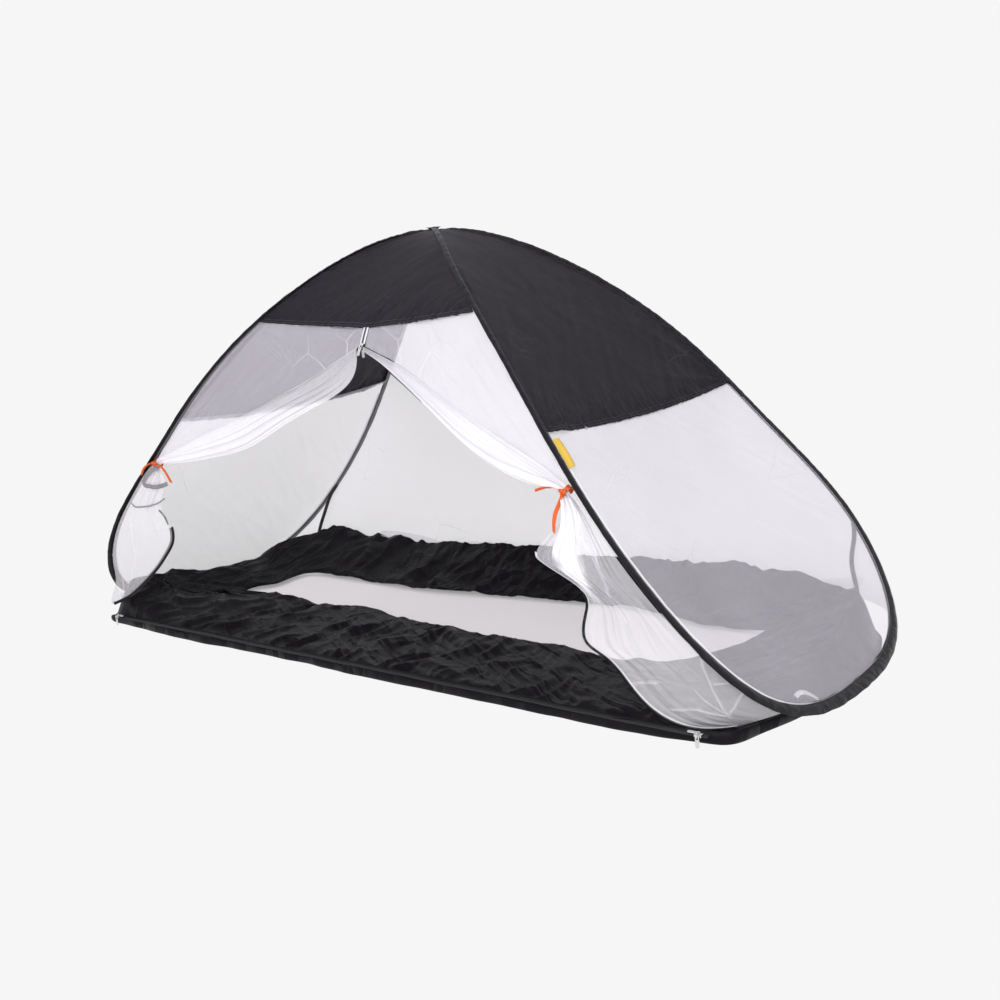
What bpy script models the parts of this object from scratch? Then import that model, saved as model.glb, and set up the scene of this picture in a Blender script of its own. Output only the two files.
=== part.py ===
"""One-person pop-up bed tent: two sprung-wire hoops crossing at the ridge, black roof, mesh walls, tied-back door.

+X runs along the bed, the door faces -Y, +Z is up, and the origin is on the floor under the middle.
"""

import math

import bmesh
import bpy
import numpy as np
from mathutils import Matrix, Vector

# Overall sizes of the sprung wire, metres
HALF_LENGTH = 1.000
HALF_WIDTH = 0.428
APEX_HEIGHT = 0.959
TIP_HEIGHT = 0.0086

# Arm of a hoop from the ridge crossing to its tip, as shares of the three sizes above
ARM_SHAPE = (
    (0.211, 0.463, 0.909),
    (0.433, 0.785, 0.714),
    (0.625, 0.952, 0.486),
    (0.813, 1.000, 0.263),
    (0.960, 0.690, 0.058),
)
ARM_SPANS = len(ARM_SHAPE) + 1

# Sprung wire, the crimped tube that joins its ends, and the sewn sleeve round it
WIRE_RADIUS = 0.00175
FERRULE_CLEARANCE = 0.0009
FERRULE_WALL = 0.0006
FERRULE_HALF_LENGTH = 0.016
SLEEVE_HALF_TOP = 0.0065
SLEEVE_HALF_TIP = 0.0135
SLEEVE_HALF_THICK = 0.0048
SLEEVE_CLOTH = 0.0008
SEAM_SLIT_ANGLE = math.radians(14)
CROSSING_RADIUS = 0.014
CROSSING_HALF_THICK = 0.0075
SLEEVE_FROM_CROSSING = 0.013
PANEL_FROM_CROSSING = 0.024

# Cloth and its seams
ROOF_CLOTH = 0.0012
MESH_CLOTH = 0.0010
SKIRT_CLOTH = 0.0020
SEAM_GAP = 0.0006
PANEL_TO_SLEEVE = 0.0035
WALL_SAG = 0.050
END_SAG = 0.012

# Heights above the floor of the end hems, the door slider, the ties and the band turned up at the back
END_HEM_HEIGHT = 0.555
END_HEM_DIP = 0.008
SLIDER_HEIGHT = 0.716
CLOSED_ZIP_HEIGHT = 0.040
DOOR_HEM_DIP = 0.024
TIE_HEIGHT = 0.462
BACK_SKIRT_HEIGHT = 0.070

# Base band that lies on the floor and is tucked under a mattress, set in from the hoops
BAND_IN_FROM_TIP = 0.015
BAND_IN_FROM_SIDE = 0.015
BAND_CORNER_POWER = 13.0
WALL_CORNER_POWER = 4.0
BAND_CORNER_IN = 0.055
SKIRT_INSET = 0.004
OPENING_FRONT_Y = -0.060
OPENING_BACK_Y = 0.200
OPENING_LEFT_FROM_TIP = 0.250
OPENING_RIGHT_FROM_TIP = 0.300
RIM_BOTTOM = 0.0040
RIM_TOP = 0.0195
RIM_CLOTH = 0.0020
RIM_SHORTER_THAN_ZIP = 0.010

# Zip fasteners
ZIP_CLOTH = 0.0015
DOOR_ZIP_HALF_WIDTH = 0.010
DOOR_ZIP_LENGTH_LEFT = 0.011
BASE_ZIP_FROM_TIP = 0.120
BASE_ZIP_IN = 0.002
BASE_ZIP_OVER_RIM = 0.0063
BASE_ZIP_HALF_WIDTH = 0.006
FLAP_ZIP_HALF_WIDTH = 0.005
FLAP_ZIP_OUT = 0.004
SLIDER_FROM_ZIP_END = 0.018
SLIDER_HALF_WIDTH = 0.0055
SLIDER_HALF_LENGTH = 0.0070
SLIDER_CLEARANCE = 0.0004
SLIDER_PLATE = 0.00135
SLIDER_NECK = 0.0014
BRIDGE_HALF_WIDTH = 0.0012
BRIDGE_BAR = 0.0014
BRIDGE_HALF_HOLE = 0.0015
BRIDGE_HOLE_HEIGHT = 0.0028
BRIDGE_ROOT = 0.0006
PULL_HALF_THICK = 0.0007
PULL_HALF_WIDTH = 0.0040
PULL_BAR_HALF = 0.0009
PULL_EYE_HALF_WIDTH = 0.0018
PULL_EYE_END = 0.0064
PULL_FLOOR_CLEARANCE = 0.0030

# Lower edges of the tied-back door halves: distance in from the arm, and height as a share of the tie's
FLAP_EDGE_LEFT = ((0.104, 0.877), (0.174, 0.758), (0.240, 0.580), (0.245, 0.424), (0.204, 0.316), (0.148, 0.113))
FLAP_EDGE_RIGHT = ((0.089, 0.877), (0.186, 0.725), (0.180, 0.584), (0.180, 0.455), (0.205, 0.307), (0.148, 0.113))
FLAP_FOOT = ((0.090, 0.078), (0.055, 0.065), (0.034, 0.061))
FLAP_BACKSET = 0.006
FLAP_FOOT_INSET = 0.012
FLAP_TOP_UNDER_TIE = 0.036
FLAP_ARM_END = 0.86

# Gathered upper parts of the door halves, from beside the slider to the tie
SWAG_START_SIDE = 0.072
SWAG_START_UNDER_SLIDER = 0.060
SWAG_NECK_RADIUS = 0.0070
SWAG_HALF_HEIGHT_LEFT = 0.042
SWAG_HALF_HEIGHT_RIGHT = 0.030
SWAG_HALF_THICK = 0.012
SWAG_BACKSET = 0.020
SWAG_DROOP = 1.15

# Ties: a ribbon round the gathered flap with two loose ends, given from the middle of the ribbon's loop
TIE_BAR_RADIUS = 0.0020
TIE_CLEARANCE = 0.0015
TIE_FROM_ARM = 0.026
TIE_FROM_WALL = 0.004
TIE_BELOW = 0.010
TIE_FROM_SWAG_END = 0.005
RIBBON_RADIUS = 0.0022
RIBBON_ENDS_RIGHT = (
    ((-0.004, -0.0160, 0.004), (-0.022, -0.018, 0.008), (-0.042, -0.018, 0.006), (-0.060, -0.017, 0.000)),
    ((0.000, -0.0160, -0.004), (-0.006, -0.020, -0.022), (-0.016, -0.022, -0.046), (-0.020, -0.022, -0.076)),
)
RIBBON_ENDS_LEFT = (
    ((-0.002, -0.0160, 0.003), (-0.012, -0.024, 0.000), (-0.024, -0.030, -0.010), (-0.034, -0.032, -0.026)),
    ((0.004, -0.0160, -0.003), (0.024, -0.020, -0.002), (0.046, -0.022, -0.012), (0.068, -0.022, -0.042)),
)

# Stay strap in each back corner: in from the half length, in from the half width, height
STRAP_ROUTE = (
    (0.178, 0.048, 0.205),
    (0.158, 0.062, 0.150),
    (0.143, 0.076, 0.100),
    (0.138, 0.088, 0.050),
    (0.150, 0.106, 0.008),
)
STRAP_HALF_WIDTH = 0.005
STRAP_CLOTH = 0.0012

# Blank side tag on the front right sleeve, and the white tab inside the right end
TAG_TOP = 0.540
TAG_BOTTOM = 0.492
TAG_DEPTH = 0.021
TAG_FROM_SLEEVE = 0.001
TAG_OUT = 0.0030
TAG_FLARE = 0.0020
TAG_CLOTH = 0.0008
TAB_ROUTE = ((0.054, -0.196, 0.044), (0.060, -0.166, 0.034), (0.064, -0.132, 0.016), (0.062, -0.098, 0.006))
TAB_HALF_WIDTH = 0.004

# Sizes that follow from those above
APEX = (0.0, 0.0, APEX_HEIGHT)
DOOR_HEM_HEIGHT = SLIDER_HEIGHT + CLOSED_ZIP_HEIGHT + DOOR_HEM_DIP
BAND_HALF_LENGTH = HALF_LENGTH - BAND_IN_FROM_TIP
BAND_HALF_WIDTH = HALF_WIDTH - BAND_IN_FROM_SIDE
BAND_CORNER_X = BAND_HALF_LENGTH - BAND_CORNER_IN
BASE_ZIP_HALF_LENGTH = HALF_LENGTH - BASE_ZIP_FROM_TIP
BASE_ZIP_Y = -(BAND_HALF_WIDTH - BASE_ZIP_IN)
BASE_ZIP_HEIGHT = RIM_TOP + BASE_ZIP_OVER_RIM
RIM_HALF_LENGTH = BASE_ZIP_HALF_LENGTH - RIM_SHORTER_THAN_ZIP
SLIDER_X = BASE_ZIP_HALF_LENGTH - SLIDER_FROM_ZIP_END
PLATE_NEAR = ZIP_CLOTH / 2 + SLIDER_CLEARANCE
PLATE_FAR = PLATE_NEAR + SLIDER_PLATE
PULL_OUT = BRIDGE_HOLE_HEIGHT / 2
PULL_LENGTH = BASE_ZIP_HEIGHT - PULL_FLOOR_CLEARANCE
FERRULE_RADIUS = WIRE_RADIUS + FERRULE_CLEARANCE + FERRULE_WALL / 2
TIE_RADIUS = SWAG_NECK_RADIUS + TIE_CLEARANCE + TIE_BAR_RADIUS


# Scene, materials and the ways of making a solid


def clear_scene():
    for item in list(bpy.data.objects):
        bpy.data.objects.remove(item, do_unlink=True)


def new_collection(name):
    group = bpy.data.collections.new(name)
    bpy.context.scene.collection.children.link(group)
    return group


def principled(name, colour, roughness, metallic=0.0):
    material = bpy.data.materials.new(name)
    material.use_nodes = True
    shader = material.node_tree.nodes["Principled BSDF"]
    shader.inputs["Base Color"].default_value = (*colour, 1.0)
    shader.inputs["Roughness"].default_value = roughness
    shader.inputs["Metallic"].default_value = metallic
    return material


def pivot(name, at, group, parent=None):
    """An empty on a joint's axis, which the pieces of one moving body hang from."""
    empty = bpy.data.objects.new(name, None)
    empty.location = at
    group.objects.link(empty)
    if parent:
        hang(empty, parent)
    return empty


def hang(item, parent):
    item.parent = parent
    item.matrix_parent_inverse = Matrix.Translation(-parent.location)
    return item


def place(name, data, material, group, parent):
    item = bpy.data.objects.new(name, data)
    data.materials.append(material)
    group.objects.link(item)
    return hang(item, parent)


def mesh_of(name, body):
    bmesh.ops.recalc_face_normals(body, faces=body.faces)
    mesh = bpy.data.meshes.new(name)
    body.to_mesh(mesh)
    body.free()
    mesh.shade_smooth()
    return mesh


def cloth(name, rows, thickness, material, group, parent):
    """A sheet through rows of points, given its thickness half to each side."""
    rows = np.asarray(rows, float)
    count, width, _ = rows.shape
    body = bmesh.new()
    points = [[body.verts.new(rows[i, j]) for j in range(width)] for i in range(count)]
    for i in range(count - 1):
        for j in range(width - 1):
            body.faces.new((points[i][j], points[i + 1][j], points[i + 1][j + 1], points[i][j + 1]))
    item = place(name, mesh_of(name, body), material, group, parent)
    shell = item.modifiers.new("Thickness", "SOLIDIFY")
    shell.thickness = thickness
    shell.offset = 0.0
    return item


def loft(name, rings, material, group, parent):
    """A closed body through rings of points, with both ends capped."""
    rings = np.asarray(rings, float)
    count, around, _ = rings.shape
    body = bmesh.new()
    points = [[body.verts.new(rings[i, j]) for j in range(around)] for i in range(count)]
    for i in range(count - 1):
        for j in range(around):
            k = (j + 1) % around
            body.faces.new((points[i][j], points[i][k], points[i + 1][k], points[i + 1][j]))
    body.faces.new(points[0])
    body.faces.new(points[-1])
    return place(name, mesh_of(name, body), material, group, parent)


def rod(name, points, radius, material, group, parent):
    """A round bar along points, with flat capped ends."""
    curve = bpy.data.curves.new(name, "CURVE")
    curve.dimensions = "3D"
    curve.bevel_depth = radius
    curve.bevel_resolution = 2
    curve.use_fill_caps = True
    spline = curve.splines.new("POLY")
    spline.points.add(len(points) - 1)
    for point, at in zip(spline.points, points):
        point.co = (*at, 1.0)
    return place(name, curve, material, group, parent)


def cubic(points, bend, at):
    """Points of a cubic spline from its knots and their second derivatives."""
    span = np.minimum(at.astype(int), len(points) - 2)
    b = (at - span)[:, None]
    a = 1.0 - b
    line = a * points[span] + b * points[span + 1]
    return line + ((a**3 - a) * bend[span] + (b**3 - b) * bend[span + 1]) / 6.0


def through(knots, count, first=0.0, last=None):
    """Even-step points on a natural cubic curve through the knots, from the first to the last knot asked for."""
    knots = np.asarray(knots, float)
    spans = len(knots) - 1
    system = np.eye(spans + 1)
    right = np.zeros_like(knots)
    for i in range(1, spans):
        system[i, i - 1 : i + 2] = (1.0, 4.0, 1.0)
        right[i] = 6.0 * (knots[i - 1] - 2.0 * knots[i] + knots[i + 1])
    return cubic(knots, np.linalg.solve(system, right), np.linspace(first, last or spans, count))


# The hoops: one wire in a figure of eight, with its crossing at the ridge


def wire_loop():
    """Knots of the whole loop: the right hoop from the crossing, front arm first, then the left hoop."""
    arm_knots = np.array(ARM_SHAPE) * (HALF_LENGTH, HALF_WIDTH, APEX_HEIGHT)
    crossing = np.array([APEX])
    right_tip = np.array([(HALF_LENGTH, 0.0, TIP_HEIGHT)])
    front_right = arm_knots * (1, -1, 1)
    back_right = arm_knots[::-1]
    front_left = arm_knots * (-1, -1, 1)
    back_left = arm_knots[::-1] * (-1, 1, 1)
    left_tip = right_tip * (-1, 1, 1)
    return np.concatenate([crossing, front_right, right_tip, back_right, crossing, front_left, left_tip, back_left])


def closed_bend(knots):
    """Second derivatives at the knots of a closed cubic spline."""
    count = len(knots)
    system = 4.0 * np.eye(count)
    for i in range(count):
        system[i, i - 1] += 1.0
        system[i, (i + 1) % count] += 1.0
    step = np.roll(knots, 1, axis=0) - 2.0 * knots + np.roll(knots, -1, axis=0)
    return np.linalg.solve(system, 6.0 * step)


LOOP = wire_loop()
LOOP_BEND = closed_bend(LOOP)
CLOSED_LOOP = np.concatenate([LOOP, LOOP[:1]])
CLOSED_BEND = np.concatenate([LOOP_BEND, LOOP_BEND[:1]])


def hoop_centre(side, stations):
    """Points round a hoop: station 0 is the crossing, ARM_SPANS the tip, twice that the crossing again."""
    return cubic(CLOSED_LOOP, CLOSED_BEND, np.asarray(stations, float)) * (side, 1, 1)


def arm(at):
    """Unsigned points of an arm at stations from 0 (crossing) to ARM_SPANS (tip)."""
    return np.abs(hoop_centre(1, np.atleast_1d(at)))


TABLE_STATION = np.linspace(0.0, ARM_SPANS, 601)
TABLE_ARM = arm(TABLE_STATION)
TABLE_STEP = np.diff(TABLE_ARM, axis=0)
END_LENGTH = np.concatenate([[0.0], np.cumsum(np.hypot(TABLE_STEP[:, 0], TABLE_STEP[:, 2]))])
WALL_LENGTH = np.concatenate([[0.0], np.cumsum(np.hypot(TABLE_STEP[:, 1], TABLE_STEP[:, 2]))])
END_GAP = SEAM_GAP * ARM_SPANS / END_LENGTH[-1]
WALL_GAP = SEAM_GAP * ARM_SPANS / WALL_LENGTH[-1]


def station_at_height(height):
    return np.interp(height, TABLE_ARM[::-1, 2], TABLE_STATION[::-1])


def station_from_crossing(distance):
    near = np.hypot(TABLE_ARM[:60, 0], TABLE_ARM[:60, 1])
    return np.interp(distance * math.sqrt(2.0), near, TABLE_STATION[:60])


def arm_at(station):
    return np.array([np.interp(station, TABLE_STATION, TABLE_ARM[:, k]) for k in range(3)])


def arm_direction(station):
    """Direction of an arm in the end panel's profile, X and Z."""
    step = arm(station + 0.01)[0] - arm(station - 0.01)[0]
    return step[[0, 2]] / math.hypot(step[0], step[2])


def sleeve_half(station):
    return SLEEVE_HALF_TOP + (SLEEVE_HALF_TIP - SLEEVE_HALF_TOP) * np.asarray(station, float) / ARM_SPANS


def inner_limit(length, across):
    """How far a panel reaches sideways at each station of the table and stays clear of the sleeve."""
    gap = sleeve_half(TABLE_STATION) + PANEL_TO_SLEEVE
    along = np.gradient(length)
    aside = np.gradient(across)
    size = np.maximum(np.hypot(along, aside), 1e-9)
    inner_length = length + gap * aside / size
    inner_across = across - gap * along / size
    order = np.argsort(inner_length)
    return np.interp(length, inner_length[order], inner_across[order])


END_LIMIT = inner_limit(END_LENGTH, TABLE_ARM[:, 1])
WALL_LIMIT = inner_limit(WALL_LENGTH, TABLE_ARM[:, 0])
WIDEST_STATION = TABLE_STATION[np.argmax(TABLE_ARM[:, 1])]
WIDEST = arm_at(WIDEST_STATION)
PANEL_START = station_from_crossing(PANEL_FROM_CROSSING)
WIRE_START = station_from_crossing(SLEEVE_FROM_CROSSING + SLEEVE_HALF_TOP)


def hoop_frame(side, stations):
    """Centre, direction into the end panel and direction out of it, at stations round a hoop."""
    centre = hoop_centre(side, stations)
    along = hoop_centre(side, stations + 0.01) - hoop_centre(side, stations - 0.01)
    along /= np.linalg.norm(along, axis=1)[:, None]
    from_tip = np.minimum(stations, 2 * ARM_SPANS - stations)
    last = ARM_SPANS - 0.02
    profile = np.array([arm_direction(min(s, last)) for s in from_tip])
    out = np.stack([-side * profile[:, 1], np.zeros(len(profile)), profile[:, 0]], axis=1)
    out -= np.sum(out * along, axis=1)[:, None] * along
    out /= np.linalg.norm(out, axis=1)[:, None]
    inward = np.cross(out, along)
    panel_middle = np.array((side * LOOP[3][0], 0.0, LOOP[3][2]))
    away = np.sum(inward * (panel_middle - centre), axis=1) < 0
    inward[away] *= -1
    return centre, inward, out


def channel_rows(side, stations, half_wide, half_thick, faces):
    """A tube slit along its inner side, as cloth folded round the wire and sewn to the panel."""
    centre, inward, out = hoop_frame(side, stations)
    angles = np.linspace(SEAM_SLIT_ANGLE, 2 * math.pi - SEAM_SLIT_ANGLE, faces + 1)
    wide = np.cos(angles)[None, :, None] * inward[:, None, :] * half_wide[:, None, None]
    thick = np.sin(angles)[None, :, None] * out[:, None, :] * half_thick
    return centre[:, None, :] + wide + thick


def make_hoop(side, word, kit, body):
    even = np.linspace(-1.0, 1.0, 39)
    stations = ARM_SPANS + np.sign(even) * np.abs(even) ** 1.15 * (ARM_SPANS - WIRE_START)
    rod(f"wire_{word}", hoop_centre(side, stations), WIRE_RADIUS, kit["steel"], kit["group"], body)
    from_tip = np.minimum(stations, 2 * ARM_SPANS - stations)
    rows = channel_rows(side, stations, sleeve_half(from_tip), SLEEVE_HALF_THICK, 8)
    cloth(f"sleeve_{word}", rows, SLEEVE_CLOTH, kit["black cloth"], kit["group"], body)
    pace = np.linalg.norm(arm(ARM_SPANS)[0] - arm(ARM_SPANS - 0.1)[0]) / 0.1
    half_span = FERRULE_HALF_LENGTH / pace
    crimp = np.linspace(ARM_SPANS - half_span, ARM_SPANS + half_span, 5)
    rows = channel_rows(side, crimp, np.full(len(crimp), FERRULE_RADIUS), FERRULE_RADIUS, 10)
    cloth(f"ferrule_{word}", rows, FERRULE_WALL, kit["steel"], kit["group"], body)


def make_crossing(kit, body):
    pad = bmesh.new()
    bmesh.ops.create_uvsphere(pad, u_segments=16, v_segments=8, radius=1.0)
    shape = Matrix.Diagonal((CROSSING_RADIUS, CROSSING_RADIUS, CROSSING_HALF_THICK, 1.0))
    bmesh.ops.transform(pad, matrix=Matrix.Translation(APEX) @ shape, verts=pad.verts)
    place("apex_crossing", mesh_of("apex_crossing", pad), kit["black cloth"], kit["group"], body)


# Roof and wall panels


def end_point(side, station, share):
    """A point of an end panel: side is 1 right or -1 left, share runs from -1 front to 1 back."""
    x, _, z = arm_at(station)
    y = np.interp(station, TABLE_STATION, END_LIMIT) * share
    sag = END_SAG * math.sin(math.pi * station / ARM_SPANS) * (1.0 - share * share)
    return (side * (x - sag), y, z - sag)


def wall_point(face, station, share):
    """A point of the front (face -1) or back (face 1) wall: share runs from -1 left to 1 right."""
    _, y, z = arm_at(station)
    x = np.interp(station, TABLE_STATION, WALL_LIMIT) * share
    middle = y
    power = WALL_CORNER_POWER
    if station > WIDEST_STATION:
        low = 1.0 - z / WIDEST[2]
        middle = WIDEST[1] + (BAND_HALF_WIDTH - WIDEST[1]) * low
        power += (BAND_CORNER_POWER - WALL_CORNER_POWER) * low
    sag = WALL_SAG * math.sin(math.pi * station / ARM_SPANS) * (1.0 - share * share)
    depth = middle + (y - middle) * abs(share) ** power - sag
    return (x, face * depth, z)


def front_at(x, z, backset):
    """The point at an X and a height, set in from the front wall by backset."""
    station = station_at_height(z)
    share = np.clip(x / np.interp(station, TABLE_STATION, WALL_LIMIT), -1.0, 1.0)
    return (x, wall_point(-1, station, share)[1] + backset, z)


def end_hem(share):
    return station_at_height(END_HEM_HEIGHT - END_HEM_DIP * (1.0 - share * share))


def wall_hem(share):
    return station_at_height(DOOR_HEM_HEIGHT - DOOR_HEM_DIP * (1.0 - abs(share)))


def between(first, last, count):
    return [first + (last - first) * g for g in np.linspace(0.0, 1.0, count)]


def panel(point, side, first, last, shares, count):
    """Rows of a panel between two hem lines, each a function of the share across."""
    columns = [[point(side, s, f) for s in between(first(f), last(f), count)] for f in shares]
    return np.transpose(np.array(columns), (1, 0, 2))


def make_end_panels(side, word, kit, body):
    shares = np.linspace(-1.0, 1.0, 9)
    foot_length = END_LENGTH[-1] - SLEEVE_HALF_TIP - 2.0 * PANEL_TO_SLEEVE
    foot = np.interp(foot_length, END_LENGTH, TABLE_STATION)
    rows = panel(end_point, side, lambda f: PANEL_START, end_hem, shares, 7)
    cloth(f"roof_{word}", rows, ROOF_CLOTH, kit["black cloth"], kit["group"], body)
    rows = panel(end_point, side, lambda f: end_hem(f) + END_GAP, lambda f: foot, shares, 10)
    cloth(f"mesh_{word}", rows, MESH_CLOTH, kit["mesh cloth"], kit["group"], body)


def make_wall_roof(face, word, kit, body):
    shares = np.linspace(-1.0, 1.0, 9)
    rows = panel(wall_point, face, lambda f: PANEL_START, wall_hem, shares, 5)
    cloth(f"roof_{word}", rows, ROOF_CLOTH, kit["black cloth"], kit["group"], body)


BAND_SHARES = np.sin(np.linspace(-1.0, 1.0, 15) * math.pi / 2)


def make_back_mesh(kit, body):
    last = station_at_height(BACK_SKIRT_HEIGHT + SEAM_GAP)
    rows = panel(wall_point, 1, lambda f: wall_hem(f) + WALL_GAP, lambda f: last, BAND_SHARES, 9)
    cloth("mesh_back", rows, MESH_CLOTH, kit["mesh cloth"], kit["group"], body)


# Tied-back door


def make_door_mesh(side, word, kit, body):
    """The flat part of a door half, above the line from the slider to the tie."""
    tie = station_at_height(TIE_HEIGHT + TIE_BELOW)
    slider = station_at_height(SLIDER_HEIGHT)
    inner = DOOR_ZIP_HALF_WIDTH + SEAM_GAP
    arm_stations = between(wall_hem(1.0) + WALL_GAP, tie, 6)
    zip_stations = between(wall_hem(0.0) + WALL_GAP, slider, 6)
    rows = []
    for arm_station, zip_station in zip(arm_stations, zip_stations):
        reach = np.interp(arm_station, TABLE_STATION, WALL_LIMIT)
        row = []
        for x, station in zip(between(reach, inner, 7), between(arm_station, zip_station, 7)):
            share = x / np.interp(station, TABLE_STATION, WALL_LIMIT)
            row.append(wall_point(-1, max(station, wall_hem(share) + WALL_GAP), side * min(share, 1.0)))
        rows.append(row)
    cloth(f"door_mesh_{word}", rows, MESH_CLOTH, kit["mesh cloth"], kit["group"], body)


def swag_line(side):
    """Both ends of a gathered door half, beside the slider and in its tie."""
    start = front_at(side * SWAG_START_SIDE, SLIDER_HEIGHT - SWAG_START_UNDER_SLIDER, SWAG_BACKSET)
    x, y, z = arm_at(station_at_height(TIE_HEIGHT - TIE_BELOW))
    finish = (side * (x - TIE_FROM_ARM), TIE_FROM_WALL - y, z)
    return np.array(start), np.array(finish)


def make_swag(side, word, half_height, kit, body):
    """The gathered upper part of a door half: a long flat bundle that ends as a neck in the tie."""
    start, finish = swag_line(side)
    chord = finish - start
    across = np.array((-chord[2], 0.0, chord[0])) / math.hypot(chord[0], chord[2])
    rings = []
    for share in np.linspace(0.0, 1.0, 13):
        belly = math.sin(math.pi * min(share * 1.06, 1.0)) ** 0.8
        tall = SWAG_NECK_RADIUS + (half_height - SWAG_NECK_RADIUS) * belly
        thick = SWAG_NECK_RADIUS + (SWAG_HALF_THICK - SWAG_NECK_RADIUS) * belly
        centre = start + chord * share
        wall_y = front_at(centre[0], centre[2], SWAG_BACKSET)[1]
        centre[1] = finish[1] + (wall_y - finish[1]) * min(1.0, 4.0 * (1.0 - share))
        centre[2] -= SWAG_DROOP * (tall - SWAG_NECK_RADIUS)
        ring = []
        for angle in np.linspace(0.0, 2 * math.pi, 10, endpoint=False):
            ring.append(centre + across * tall * math.cos(angle) + np.array((0, thick * math.sin(angle), 0)))
        rings.append(ring)
    loft(f"flap_swag_{word}", rings, kit["mesh cloth"], kit["group"], body)


def edge_places(side, edge):
    """X and Z of the points of a flap's edge, from distances in from the arm and shares of the tie's height."""
    places = []
    for inward, share in edge:
        z = share * TIE_HEIGHT
        places.append((side * (arm_at(station_at_height(z))[0] - inward), z))
    return places


def free_edge_knots(side, edge):
    on_wall = [front_at(x, z, FLAP_BACKSET) for x, z in edge_places(side, edge)]
    on_floor = [(x, -band_depth(x, FLAP_FOOT_INSET), z) for x, z in edge_places(side, FLAP_FOOT)]
    return on_wall + on_floor


def make_tail(side, word, edge, kit, body):
    """The lower part of a door half, below the tie, sewn along the arm and the base band."""
    free_run = through(free_edge_knots(side, edge), 14)
    first = station_at_height(TIE_HEIGHT - FLAP_TOP_UNDER_TIE)
    arm_run = []
    for station in between(first, ARM_SPANS - FLAP_ARM_END, 14):
        x, y, z = arm_at(station)
        profile = arm_direction(station)
        gap = float(sleeve_half(station)) + PANEL_TO_SLEEVE
        arm_run.append(np.array((side * (x + gap * profile[1]), -y, z - gap * profile[0])))
    rows = [between(a, b, 5) for a, b in zip(free_run, arm_run)]
    cloth(f"flap_tail_{word}", rows, MESH_CLOTH, kit["mesh cloth"], kit["group"], body)


def make_flap_zip(side, word, edge, kit, body):
    """The zip tape along the free lower edge of a door half, just outside the mesh edge."""
    run = through(free_edge_knots(side, edge), 13, 1.0, len(edge) - 1.0)
    step = np.gradient(run, axis=0)
    outward = side * np.stack([step[:, 2], np.zeros(len(run)), -step[:, 0]], axis=1)
    outward /= np.linalg.norm(outward, axis=1)[:, None]
    tape = np.array((0.0, FLAP_ZIP_HALF_WIDTH, 0.0))
    rows = [[point - tape, point, point + tape] for point in run + outward * FLAP_ZIP_OUT]
    cloth(f"zip_flap_{word}", rows, ZIP_CLOTH, kit["zip"], kit["group"], body)


# Base band


def band_reach(y, inset):
    """Half length of the band's outline at a distance y from the middle line."""
    share = min(abs(y) / (BAND_HALF_WIDTH - inset), 0.999)
    return (BAND_HALF_LENGTH - inset) * (1.0 - share * share) ** (1.0 / BAND_CORNER_POWER)


def band_depth(x, inset):
    """Half width of the band's outline at a distance x from the middle."""
    share = min(abs(x) / (BAND_HALF_LENGTH - inset), 1.0)
    return (BAND_HALF_WIDTH - inset) * math.sqrt(1.0 - share**BAND_CORNER_POWER)


def floor_row(face, share, inner_y):
    """Floor points of the band from the opening's edge to its outline, on the front (-1) or back (1) side."""
    inner = np.array((band_reach(inner_y, SKIRT_INSET) * share, inner_y, SKIRT_CLOTH / 2))
    corner = BAND_CORNER_X * share
    outer = np.array((corner, face * band_depth(corner, SKIRT_INSET), SKIRT_CLOTH / 2))
    return between(inner, outer, 3)


def make_front_skirt(kit, body):
    rows = [floor_row(-1, f, OPENING_FRONT_Y - SEAM_GAP) for f in BAND_SHARES]
    cloth("skirt_front", rows, SKIRT_CLOTH, kit["black cloth"], kit["group"], body)


def make_back_skirt(kit, body):
    """The back of the band, which also turns up the wall to the mesh."""
    top = station_at_height(BACK_SKIRT_HEIGHT)
    rows = []
    for f in BAND_SHARES:
        floor = floor_row(1, f, OPENING_BACK_Y + SEAM_GAP)
        head = np.array(wall_point(1, top, f))
        rows.append(floor + [floor[-1] + (head - floor[-1]) * 0.35, head])
    cloth("skirt_back", rows, SKIRT_CLOTH, kit["black cloth"], kit["group"], body)


def make_end_skirt(side, word, opening_x, kit, body):
    rows = []
    for y in between(OPENING_FRONT_Y + SEAM_GAP, OPENING_BACK_Y - SEAM_GAP, 5):
        reach = band_reach(y, SKIRT_INSET)
        rows.append([(side * x, y, SKIRT_CLOTH / 2) for x in between(opening_x, reach, 3)])
    cloth(f"skirt_{word}", rows, SKIRT_CLOTH, kit["black cloth"], kit["group"], body)


def make_rim(kit, body):
    """The band's front edge, standing up to the zip and leaning out to it at the corners."""
    rows = []
    for f in np.linspace(-1.0, 1.0, 17):
        x = RIM_HALF_LENGTH * math.sin(f * math.pi / 2)
        foot = np.array((x, -band_depth(x, 0.0), RIM_BOTTOM))
        head = np.array((x, min(-band_depth(x, 0.0), BASE_ZIP_Y), RIM_TOP))
        rows.append(between(foot, head, 3))
    cloth("base_rim", rows, RIM_CLOTH, kit["black cloth"], kit["group"], body)


# Zips, sliders and pulls


def facing(origin, first, second):
    """Placing matrix with its first and second axes along the two given directions."""
    first = Vector(first).normalized()
    second = Vector(second)
    second = (second - second.dot(first) * first).normalized()
    matrix = Matrix((first, second, first.cross(second))).transposed().to_4x4()
    matrix.translation = Vector(origin)
    return matrix


def box_object(name, low, high, matrix):
    low, high = Vector(low), Vector(high)
    body = bmesh.new()
    bmesh.ops.create_cube(body, size=1.0)
    bmesh.ops.scale(body, vec=high - low, verts=body.verts)
    bmesh.ops.translate(body, vec=(high + low) / 2, verts=body.verts)
    mesh = bpy.data.meshes.new(name)
    body.to_mesh(mesh)
    body.free()
    item = bpy.data.objects.new(name, mesh)
    item.matrix_world = matrix
    return item


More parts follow.
